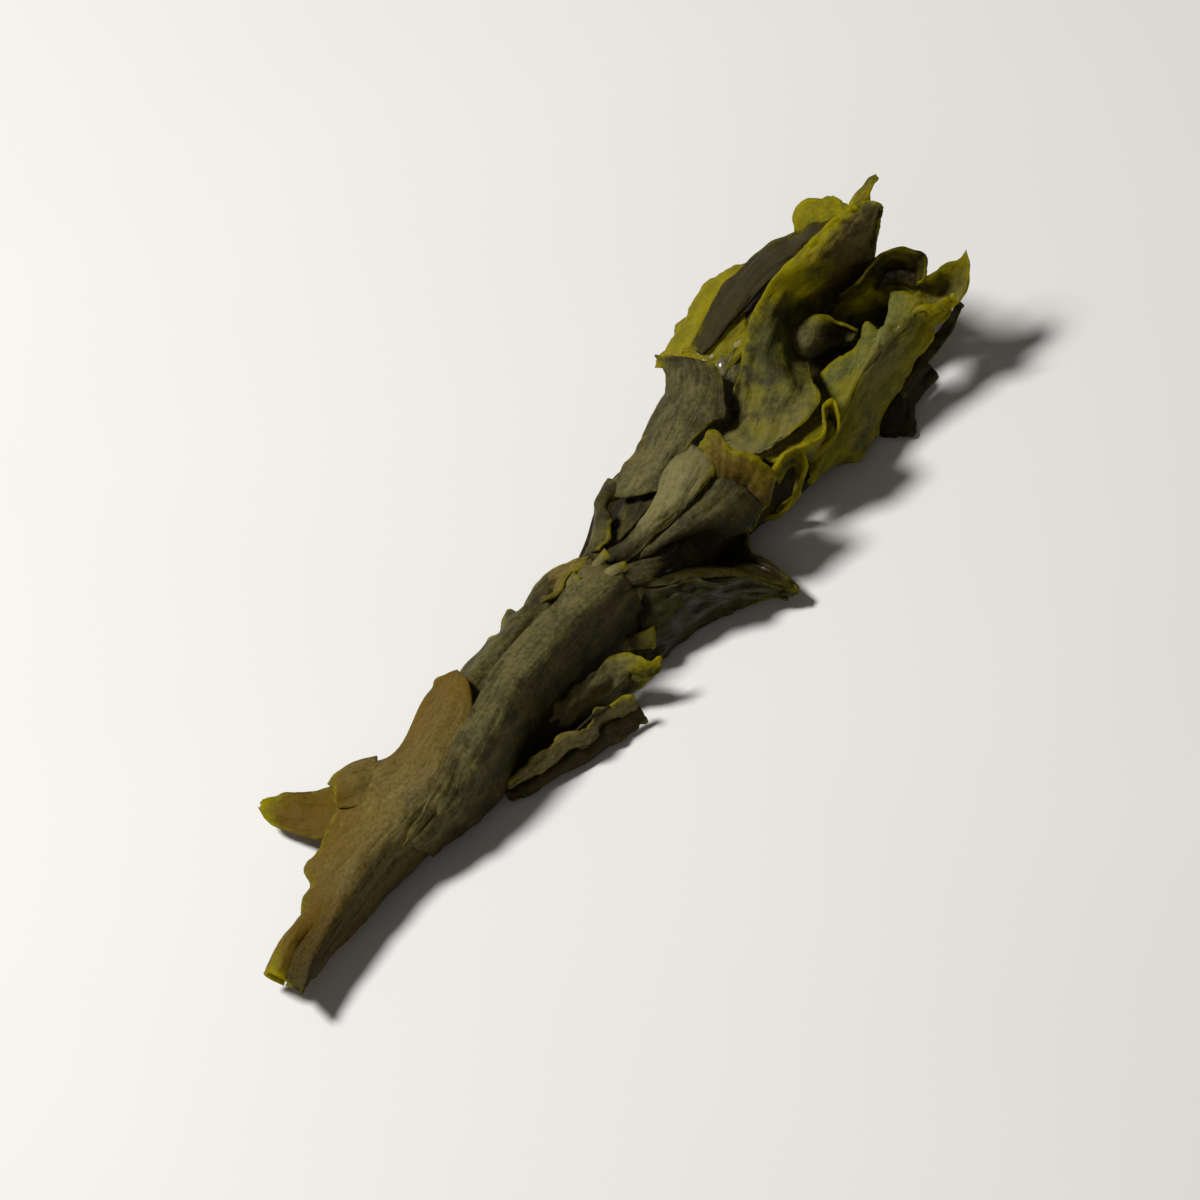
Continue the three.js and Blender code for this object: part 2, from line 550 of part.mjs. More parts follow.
function bladeGrid(shape, number) {
  const seed = number * 7.31;
  const place = shape.centre ? onRoll : onFlap;
  const [rows, columns] = cellsOf(shape);
  const grid = [];
  for (let i = 0; i <= rows; i++) {
    const line = [];
    for (let j = 0; j <= columns; j++) {
      const v = (2 * j) / columns - 1;
      const u = (i / rows) * (1 - (shape.tornEnd ?? 0) * torn(v + seed, 4.5));
      const ragged = 1 - (shape.raggedSides ?? 0) * torn(4 * u + seed, 11.5 + 3 * Math.sign(v));
      const past = shape.roundEnd ? Math.max((u - 1) / shape.roundEnd + 1, 0) : 0;
      const rounded = Math.sqrt(Math.max(1 - past * past, 0.0004));
      line.push(place(shape, u, v * ragged * rounded));
    }
    grid.push(line);
  }
  if (!shape.crumple) return grid;
  return grid.map((line, i) => line.map((point, j) => {
    const u = i / rows;
    const v = (2 * j) / columns - 1;
    const size = uneven(6 * u + seed, 4 * v, 0.5) + 0.5 * uneven(15 * u + seed, 10 * v, 4.5);
    return point.clone().addScaledVector(outwardAt(grid, i, j), shape.crumple * size);
  }));
}

function waved(point, share) {
  const moved = point.clone();
  for (const [length, size] of [[WAVE_LONG, WAVE_LONG_SIZE], [WAVE_SHORT, WAVE_SHORT_SIZE]]) {
    ["x", "y", "z"].forEach((axis, k) => {
      const x = (point.x * WAVE_ALONG) / length + k * 17.3;
      const scale = share * size * (axis === "z" ? WAVE_UP : 1);
      moved[axis] += scale * uneven(x, point.y / length + 5.1, point.z / length + 9.7);
    });
  }
  return moved;
}

// A low fold flattens out onto the floor instead of passing through it.
function rested(point) {
  const over = point.z - RESTING_HEIGHT;
  const r = RESTING_BLEND;
  const height = over > r ? over : over < -r ? 0 : (over + r) ** 2 / (4 * r);
  return new THREE.Vector3(point.x, point.y, RESTING_HEIGHT + height);
}

// ---- a closed thin solid over a grid: two faces split alike and a rim ----
function thinSolid(wasm, grid) {
  const rows = grid.length;
  const columns = grid[0].length;
  const corners = [];
  for (const side of [0.5, -0.5]) {
    for (let i = 0; i < rows; i++) {
      for (let j = 0; j < columns; j++) {
        const point = grid[i][j].clone();
        point.addScaledVector(outwardAt(grid, i, j), side * BLADE_THICKNESS);
        corners.push(point.x, point.y, Math.max(point.z, 0));
      }
    }
  }
  const top = (i, j) => i * columns + j;
  const under = (i, j) => rows * columns + top(i, j);
  const faces = [];
  for (let i = 0; i < rows - 1; i++) {
    for (let j = 0; j < columns - 1; j++) {
      const [a, b, c, d] = [[i, j], [i + 1, j], [i + 1, j + 1], [i, j + 1]];
      faces.push(top(...a), top(...b), top(...c), top(...a), top(...c), top(...d));
      faces.push(under(...a), under(...c), under(...b), under(...a), under(...d), under(...c));
    }
  }
  const rim = [];
  for (let i = 0; i < rows - 1; i++) rim.push([i, 0]);
  for (let j = 0; j < columns - 1; j++) rim.push([rows - 1, j]);
  for (let i = rows - 1; i > 0; i--) rim.push([i, columns - 1]);
  for (let j = columns - 1; j > 0; j--) rim.push([0, j]);
  rim.forEach((here, k) => {
    const next = rim[(k + 1) % rim.length];
    faces.push(top(...here), under(...here), under(...next));
    faces.push(top(...here), under(...next), top(...next));
  });
  return new wasm.Manifold(new wasm.Mesh({
    numProp: 3,
    vertProperties: new Float32Array(corners),
    triVerts: new Uint32Array(faces),
  }));
}

// ---- a tight roll: layer on layer with no room between, so one closed solid ----
function tightSolid(wasm, grid) {
  const rings = grid.map((ring) => ring.slice(0, -1));
  const around = rings[0].length;
  const corners = rings.flat().flatMap((point) => [point.x, point.y, Math.max(point.z, 0)]);
  const ends = [rings[0], rings[rings.length - 1]].map((ring) => {
    const sum = ring.reduce((total, point) => total.add(point), new THREE.Vector3());
    corners.push(...sum.divideScalar(around).toArray());
    return corners.length / 3 - 1;
  });
  const at = (i, j) => i * around + (j % around);
  const faces = [];
  for (let i = 0; i < rings.length - 1; i++) {
    for (let j = 0; j < around; j++) {
      faces.push(at(i, j), at(i + 1, j + 1), at(i + 1, j));
      faces.push(at(i, j), at(i, j + 1), at(i + 1, j + 1));
    }
  }
  for (let j = 0; j < around; j++) {
    faces.push(ends[0], at(0, j + 1), at(0, j));
    faces.push(ends[1], at(rings.length - 1, j), at(rings.length - 1, j + 1));
  }
  return new wasm.Manifold(new wasm.Mesh({
    numProp: 3,
    vertProperties: new Float32Array(corners),
    triVerts: new Uint32Array(faces),
  }));
}

function solidOf(wasm, shape, number) {
  const share = shape.wave ?? 1;
  const grid = bladeGrid(shape, number).map((line) => line.map((p) => waved(p, share)));
  if (shape.centre && !shape.hollow) return tightSolid(wasm, grid);
  return thinSolid(wasm, grid.map((line) => line.map(rested)));
}

// Hollows sealed by the joining, and scraps that touch nothing, are not the blade.
function largestPiece(solid) {
  return solid.decompose().sort((a, b) => b.volume() - a.volume())[0];
}

function fusedBlade(wasm) {
  const solids = SHAPES.map((shape, index) => solidOf(wasm, shape, index + 1));
  const joined = solids.reduce((sum, solid) => sum.add(solid));
  return largestPiece(largestPiece(joined).simplify(JOIN_TOLERANCE));
}

function centredGeometry(solid) {
  const { vertProperties, triVerts } = solid.getMesh();
  const geometry = new THREE.BufferGeometry();
  geometry.setAttribute("position", new THREE.BufferAttribute(vertProperties, 3));
  geometry.setIndex(new THREE.BufferAttribute(triVerts, 1));
  geometry.computeBoundingBox();
  const middle = geometry.boundingBox.getCenter(new THREE.Vector3());
  geometry.translate(-middle.x, -middle.y, -geometry.boundingBox.min.z);
  geometry.computeVertexNormals();
  return geometry;
}

async function build() {
  const wasm = await Module();
  wasm.setup();
  const material = new THREE.MeshStandardMaterial({
    color: BLADE_COLOR,
    roughness: BLADE_ROUGHNESS,
    metalness: 0,
    side: THREE.DoubleSide,
  });
  const frond = new THREE.Mesh(centredGeometry(fusedBlade(wasm)), material);
  frond.name = "wakame_frond";
  const group = new THREE.Group();
  group.add(frond);
  return group;
}

export default await build();
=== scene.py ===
"""Dresses one dried wakame frond: thin olive blades rolled, folded and torn, on a pale floor.

Run as a script. The frond's parts are built from the same rolls and flaps as its solid, with
finer crumpling, torn edges and a procedural blade finish. Lengths in the tables are in
millimetres; meshes are in metres.
"""

import math

import bmesh
import bpy
import numpy as np
from bpy.props import FloatProperty, FloatVectorProperty, PointerProperty
from mathutils import Matrix, Vector


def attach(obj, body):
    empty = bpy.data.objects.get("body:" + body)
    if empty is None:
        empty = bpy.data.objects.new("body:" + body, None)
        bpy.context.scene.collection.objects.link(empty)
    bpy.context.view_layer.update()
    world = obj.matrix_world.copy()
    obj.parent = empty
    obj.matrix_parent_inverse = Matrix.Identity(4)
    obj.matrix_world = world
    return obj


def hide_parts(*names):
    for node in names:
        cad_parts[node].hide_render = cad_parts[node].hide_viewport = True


bl_info = {
    "name": "Dried Wakame Frond",
    "version": (1, 0, 0),
    "blender": (4, 5, 0),
    "location": "View3D > Sidebar > Wakame",
    "description": "Builds a rolled, torn frond of dried wakame on a pale floor",
    "category": "Object",
}

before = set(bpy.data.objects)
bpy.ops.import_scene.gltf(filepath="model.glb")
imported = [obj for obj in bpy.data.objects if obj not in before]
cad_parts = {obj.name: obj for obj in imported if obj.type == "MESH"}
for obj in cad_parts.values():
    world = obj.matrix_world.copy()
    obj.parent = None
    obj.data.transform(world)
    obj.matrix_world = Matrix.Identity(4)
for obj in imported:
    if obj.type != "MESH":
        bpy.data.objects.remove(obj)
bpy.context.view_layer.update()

NODE = "wakame_frond"
BODY = "root"
MM = 0.001

# The rolls and flaps are drawn about the middle of the roll; the frond's origin is the middle
# of its box, which lies here from it.
ORIGIN_SHIFT = (3.308, 2.963, 0.0)

# ---- the frond's form, as in its solid ----
RESTING_HEIGHT = 0.4
RESTING_BLEND = 1.2
ROUND_FROM = -60
OPEN_TO = 280
WAVES = ((15, 0.5), (6.5, 0.3))  # length and size of the slow unevenness
WAVE_ALONG = 0.6
WAVE_UP = 0.6
RIB_SPACING = 2.1
LOOKS = ("dust", "brown", "lime", "green", "wet", "dark")

# ---- steps that the surfaces are worked out with ----
SEED_STEP = 7.31  # between one shape's crumpling and the next
RUN_STEP = 1e-3  # share of a shape's length over which its direction is taken
NORMAL_STEP = 2e-3  # the same for its normals
SPAN_STEPS = 40
FEWEST_CELLS = 6
BLUNTEST_TIP = 0.0004  # square of the width left at a rounded end

# ---- fine relief, in millimetres ----
FAR_FROM_EDGE = 30.0
TEAR_REACH = 4  # how far in from a free edge the mesh moves for a tear
DEEPEST_TEAR = 0.3  # share of the blade's width or length
FINE_TEAR_LENGTH = 1.1
DEEP_TEAR_LENGTH = 3.7
GRAIN_LENGTH, GRAIN_WIDTH = 8, 1.5
CRINKLE_LENGTH, CRINKLE_WIDTH = 4.2, 3.1
FINE_CRINKLE_LENGTH, FINE_CRINKLE_WIDTH = 1.7, 1.4
RUFFLE_LENGTH, FINE_RUFFLE_LENGTH, RUFFLE_WIDTH = 3.6, 1.8, 9
RUFFLE_REACH = 2.5
RIM_WIDTH = 0.9
UV_SCALE = 0.01

# ---- scales of the finish's noises, per metre ----
BROAD_SCALE = 60.0
MOTTLE_SCALE = 280.0
FINE_SCALE = 1200.0
SPECK_SCALE = 2400.0
STRAND_STRETCH = (12.0, 110.0, 1.0)  # over a blade's own map, so strands run lengthwise
FLOOR_SCALE = 9.0
FLOOR_DIMMER = 0.985

# ---- stage, in metres and watts ----
FLOOR_HALF_SIZE = 2.5
ROOM_COLOR = (1.0, 0.93, 0.8, 1.0)
ROOM_STRENGTH = 0.07
LIGHTS_AIM = (0, 0, 0.01)
KEY_LIGHT = {"place": (-0.32, 0.55, 1.02), "size": 0.3, "power": 16.4, "color": (1.0, 0.98, 0.95)}
FILL_LIGHT = {"place": (-0.7, -0.5, 0.7), "size": 0.8, "power": 0.5, "color": (1.0, 0.98, 0.96)}
# The camera as solved from the photo, in the tables' frame, so before ORIGIN_SHIFT.
CAMERA_PLACE = (-0.652283, -0.625929, 1.02425)
CAMERA_RIGHT = (0.55719, -0.82201, -0.11764)
CAMERA_AIM = (-0.000683, -0.002929, 0.008)
CAMERA_LENS = 225.0
CAMERA_SENSOR = 36.0
CAMERA_CLIP_END = 20.0

# Each shape: its form, the free edges that show, and its looks from start to end.
# Points and heights were judged from the photo, many placed through the camera solved
# from it, and guessed where the photo doesn't show them.
# dust: dry grey bloom, and a painted sheen where the blade is lit. brown: brown tint.
# lime: thin yellow-green blade, brightened as a painted glow of light through it.
# green: mossy tint; with the yellow-green, it also lightens the hollow and cup floor as painted light.
# wet: moist gloss. dark: painted shade toward the deepest olive, in pockets, hollows,
# valleys and on sides turned from the light. fine, ruffle and ribs scale the fine relief.
LOWER_PARTS = {
    "lower_roll": {
        "centre": [[-94, -4, 7], [-84, -2, 6.5], [-68, 1, 6], [-50, -1, 5.5], [-30, -3, 5.5],
                   [-10, -5, 6], [8, -5, 6]],
        "half_width": [1, 3, 5, 6.5, 6.5, 7.5, 8], "half_height": [1, 2.5, 4, 5.5, 7, 8, 8],
        "brown": [0.8, 0.6, 0.4, 0.2],
        "dark": [0.6],
    },
    "small_roll": {
        "centre": [[-80, -1, 7.5], [-91.5, 0, 6.5], [-98, -0.5, 4.5]],
        "half_width": [2.2, 2.4, 2.6], "half_height": [2.2], "hollow": True, "wave": 0.2,
        "free": "end", "brown": [0.8], "lime": [0.1, 0.5], "tear": 0.6,
    },
    "sheath": {
        "rows": [
            [[-97.5, -2.5, 6], [-91, 0.5, 6.5], [-84, 4, 6], [-78.5, 6.5, 6], [-76, 10, 5.5],
             [-72.5, 9, 6], [-69, 10, 6.5], [-63.5, 12, 6.8], [-59.5, 15, 7], [-55, 14, 8],
             [-49, 8.5, 9], [-37.5, 10.5, 9], [-32, 10.5, 10], [-30, 7, 13]],
            [[-100, -8, 8], [-90.5, -5, 10], [-82, -3, 11], [-75.5, -2, 12], [-68, -2, 13],
             [-61.5, -2.5, 13.5], [-56.5, -2.5, 14], [-51, -3, 14.8], [-44.5, -2, 15.8],
             [-38.5, -0.5, 16.3], [-34.5, 0.5, 16.5]],
            [[-97, -7, 7], [-87.5, -6, 7.5], [-79, -5.5, 7.5], [-71, -5.5, 8], [-63.5, -6, 8.5],
             [-57, -7, 9], [-52, -8, 10], [-48, -8.5, 11.2], [-44.5, -8.5, 13]],
            [[-94.5, -6, 5], [-86, -5.5, 4], [-77, -5.5, 3.5], [-69, -5.5, 3], [-60.5, -6.5, 2.5],
             [-54.5, -8, 2.5], [-49, -9, 2.5], [-44.5, -10.5, 3]],
        ],
        "tear": 0.5,
        "free": "outer start end",
        "dust": [[0, 0.2, 0.35, 0.35, 0.1], [0, 0.5, 0.6, 0.5, 0.3], [0, 0.1, 0.15, 0.4]],
        "brown": [[1, 1, 0.9, 0.8, 1], [1, 0.8, 0.6, 0.5, 0.8], [0.9, 0.7, 0.5, 0.3]],
        "lime": [[0.3, 0.25, 0.1, 0, 0.1], [0.1, 0, 0, 0], [0]],
        "dark": [[0.8, 0.15, 0, 0, 0.1], [0.8, 0.1, 0], [0.6, 0.6, 0.4]],
    },
    "body_layer": {
        "rows": [
            [[-66.5, -5, 10.4], [-60.5, -6, 12.9], [-54, -6, 14.9], [-46.5, -4.5, 16.4],
             [-38.5, -3, 17.2], [-28, -1, 17], [-18, -1, 17], [-9, -1.5, 17.2], [1, -1.5, 17.4]],
            [[-64.5, -7, 8.9], [-58.5, -8.5, 10], [-53, -9.5, 11.4], [-47, -9.5, 14.1],
             [-39, -9, 16.1], [-29, -7.5, 17.2], [-18.5, -8, 17.9], [-10, -9, 18.2],
             [-0.5, -10.5, 17.7]],
            [[-61.5, -7.5, 2.4], [-55, -9, 2.8], [-49, -10.5, 3], [-42.5, -10.5, 3.4],
             [-34, -10, 4], [-23.5, -10, 5], [-15, -11.5, 6], [-6, -12.5, 6], [0, -13, 7]],
        ],
        "crumple": 0.3, "tear": 1.2,
        "free": "end",
        "dust": [[0.5, 0.45, 0.6, 0.6], [0.5, 0.5, 0.5, 0.5], [0.1]],
        "brown": [[0.6, 0.4, 0.15, 0], [0.5, 0.3, 0.1, 0], [0.4, 0.2, 0]],
        "dark": [[0], [0.1, 0.1, 0.2], [0.5]],
    },
    "left_strip": {
        "rows": [
            [[-30.5, 10.5, 6], [-25, 10, 7], [-18.5, 10, 7.5], [-15.5, 8.5, 8], [-11.5, 9.5, 8.8],
             [-10.5, 7, 9.2], [-4, 7.5, 9.5], [1, 7, 10], [3.5, 2.5, 12]],
            [[-34, 4, 11], [-28.5, 5, 11.5], [-21.5, 5, 11.8], [-15.5, 4.5, 12],
             [-9.5, 4.5, 12.5], [-4.5, 4, 13], [1, 2, 14]],
            [[-38, -1, 11.5], [-29.5, 0.5, 10.5], [-21, 1, 10], [-13.5, 1, 10], [-6.5, 1, 10],
             [0, 0.5, 11]],
        ],
        "free": "outer", "tear": 0.6, "dust": [0.4, 0.5, 0.4, 0.3], "brown": [0.3, 0.2, 0.3, 0.6],
        "lime": [[0.2, 0.3, 0.5, 0.3, 0.4, 0.7], [0], [0]],
    },
    "side_tab": {
        "rows": [
            [[-53, 11, 6], [-59.5, 17.5, 5], [-62.5, 22, 4.5], [-65, 26.5, 4]],
            [[-60, 7, 7], [-64.5, 13.5, 6], [-67, 18.5, 5.5], [-68, 25.5, 5]],
            [[-64, 6, 5], [-68.5, 12, 4], [-69.5, 17.5, 3.5], [-70, 23.5, 3.5]],
        ],
        "round_end": 0.1, "wave": 0.3, "free": "outer inner end", "tear": 0.4, "dust": [0.1],
        "brown": [1],
        "lime": [0, 0.15, 0.6],
        "dark": [0.1, 0],
    },
    "edge_curl": {
        "rows": [
            [[-59.5, 15.5, 7.5], [-55, 14, 8.8], [-51, 10.5, 9.2]],
            [[-61.5, 12.5, 9.5], [-59, 9.5, 11], [-55, 7.5, 10.5]],
            [[-63.5, 10.5, 8], [-62, 7, 8.8], [-59, 5, 9.6]],
        ],
        "wave": 1, "tear": 0.4, "dust": [0.1, 0.4, 0.5], "brown": [0.8],
        "free": "start",
        "lime": [[0.6, 0.3, 0], [0.2, 0, 0], [0]],
    },
    "upper_pleat": {
        "rows": [
            [[-27.5, -9, 7.5], [-22.5, -10, 8.5], [-19, -11, 9], [-16, -12.5, 9.5],
             [-12.5, -13.5, 10], [-10, -16, 10], [-9.5, -19.5, 10], [-7, -21, 9.5]],
            [[-28, -10, 3], [-25, -12, 3], [-21.5, -13, 2.5], [-18, -14, 2.5], [-15, -16, 2.5],
             [-13, -17.5, 3.5], [-11, -19, 5], [-8.5, -21, 6]],
        ],
        "rise": [0.6, 1.2, 1.4, 0.8], "crumple": 0.6, "ruffle": 1.2, "free": "outer inner end",
        "tear": 0.9,
        "wet": [0.3],
        "brown": [0.2, 0.2, 0.6],
        "lime": [[0.3, 0.1, 0.1, 0.5, 0.7], [0, 0, 0, 0.4, 0.5]],
        "dust": [[1, 1, 0.6, 0.1], [0.8, 0.6, 0.1]],
        "dark": [[0], [0, 0.3, 0.3]],
    },
    "lower_pleat": {
        "rows": [
            [[-43, -9, 4], [-39, -12, 6.5], [-36, -13, 7.5], [-33, -14, 7.5], [-30, -14.5, 8],
             [-27.5, -16, 7.5], [-24, -16.5, 7.5], [-21, -18, 7.5], [-17, -19, 7.5],
             [-15.5, -20, 7]],
            [[-42, -9.5, 1], [-39, -12, 2.5], [-37, -14, 2.5], [-34.5, -15, 3], [-31, -15.5, 3],
             [-28, -16.5, 3], [-24.5, -17.5, 3], [-21, -18.5, 3], [-17.5, -19.5, 3.5],
             [-15.5, -20, 4]],
        ],
        "rise": [0.5], "crumple": 0.5, "ruffle": 1.6, "free": "outer inner end", "tear": 1.2,
        "lime": [[0.2, 0.15, 0.4], [0]],
        "brown": [0.7],
        "dust": [[1, 1, 0.9], [0.7]],
    },
    # A sheet in the valley between the pleats, given painted shade.
    "valley": {
        "rows": [
            [[-38, -10, 4.5], [-30, -10, 5.5], [-22.5, -11, 6.5], [-16.5, -12.5, 7.5]],
            [[-39.5, -9.5, 2.5], [-33.5, -11.5, 2.5], [-25, -12.5, 3], [-18, -14.5, 4]],
            [[-40, -11.5, 4.5], [-34, -14, 6.5], [-28, -16, 7], [-20.5, -18.5, 7.5]],
        ],
        "rise": [-0.8], "crumple": 0.6,
        "dark": [1],
    },
    # A low sheet under the pleats, darkened with painted shade.
    "under_sheet": {
        "rows": [
            [[-42.5, -9.5, 2], [-37.5, -14, 3.4], [-28, -16.5, 3.9], [-21.5, -18.5, 4.2],
             [-15, -20, 4.5]],
            [[-43, -11, 0.8], [-37, -15, 0.8], [-27, -18.5, 0.8], [-20.5, -20.5, 0.8],
             [-15.5, -21.5, 0.8]],
        ],
        "rise": [0.5], "crumple": 0.4, "free": "inner end", "tear": 1.5,
        "lime": [[0], [0.1, 0.05, 0.3]],
        "dust": [0.2],
        "dark": [[0.8], [0.5]],
        "brown": [0.5],
    },
    "strip_fold": {
        "rows": [
            [[-6.5, 7.5, 8.5], [-1.5, 7.5, 9.5], [2, 6, 10.5], [3.5, 4, 11.5], [5, 2, 12]],
            [[-10, 3, 11.5], [-7, 2, 12.8], [-4, 1.5, 14], [-2, 0.5, 15], [0.5, -0.5, 15.5]],
        ],
        "rise": [0.8], "ruffle": 1.3, "free": "outer inner end", "tear": 1.2,
        "brown": [0.5, 1],
        "lime": [0.2, 0.4],
        "dust": [0.5, 0.4],
    },
    "left_tooth": {
        "rows": [
            [[-6.5, -1, 15.5], [-5.5, -0.5, 16.7], [-3.5, -1, 17.5]],
            [[-7, -2.5, 15.7], [-5.5, -3, 17], [-4, -3, 17.7]],
        ],
        "rise": [0.5], "wave": 0.3, "fine": 0.3, "free": "end", "tear": 0.4,
        "ragged_sides": 0.15,
        "dust": [1, 0.9],
        "brown": [0.2],
        "lime": [0.1, 0.6],
    },
    "top_tooth": {
        "rows": [
            [[-1, -2, 16.5], [0.5, -3, 17.8], [3, -3.5, 18.5]],
            [[-1.5, -3.5, 16.7], [-0.5, -4.5, 18], [2, -5, 18.3]],
        ],
        "rise": [0.5], "wave": 0.3, "fine": 0.3, "free": "end", "tear": 0.4,
        "ragged_sides": 0.15,
        "dust": [1, 0.9],
        "brown": [0.2],
        "lime": [0.1, 0.6],
    },
    "right_tooth": {
        "rows": [
            [[-1.5, -5.5, 17.5], [0, -7, 18.8], [2, -8.5, 19]],
            [[-2.5, -7, 17.2], [-1.5, -8.5, 18.3], [1, -9.5, 18.2]],
        ],
        "rise": [0.5], "wave": 0.3, "fine": 0.3, "free": "end", "tear": 0.4,
        "ragged_sides": 0.15,
        "dust": [1, 0.9],
        "brown": [0.2],
        "lime": [0.1, 0.6],
    },
    "upper_stub": {
        "rows": [
            [[-0.5, -10.5, 14.5], [1.5, -11, 13.5], [2.5, -12, 12.5]],
            [[-0.5, -11, 12.5], [0.5, -11.5, 11], [1.5, -12.5, 10.5]],
        ],
        "rise": [0.4], "fine": 0.5, "free": "end", "tear": 0.6,
        "dust": [0.9, 0.9],
        "lime": [0.1, 0.5],
    },
    "lower_stub": {
        "rows": [
            [[-10, -9.5, 9.3], [-6, -12.5, 8.6], [-1, -15, 8.6]],
            [[-11, -10.5, 7.3], [-7, -13.5, 6.4], [-4, -17, 5.6]],
        ],
        "rise": [0.6], "free": "outer inner end", "tear": 0.8,
        "dust": [[0.3, 0.8], [0.3, 0.6]],
        "lime": [0, 0.3, 0.5],
        "brown": [0.3],
    },
}
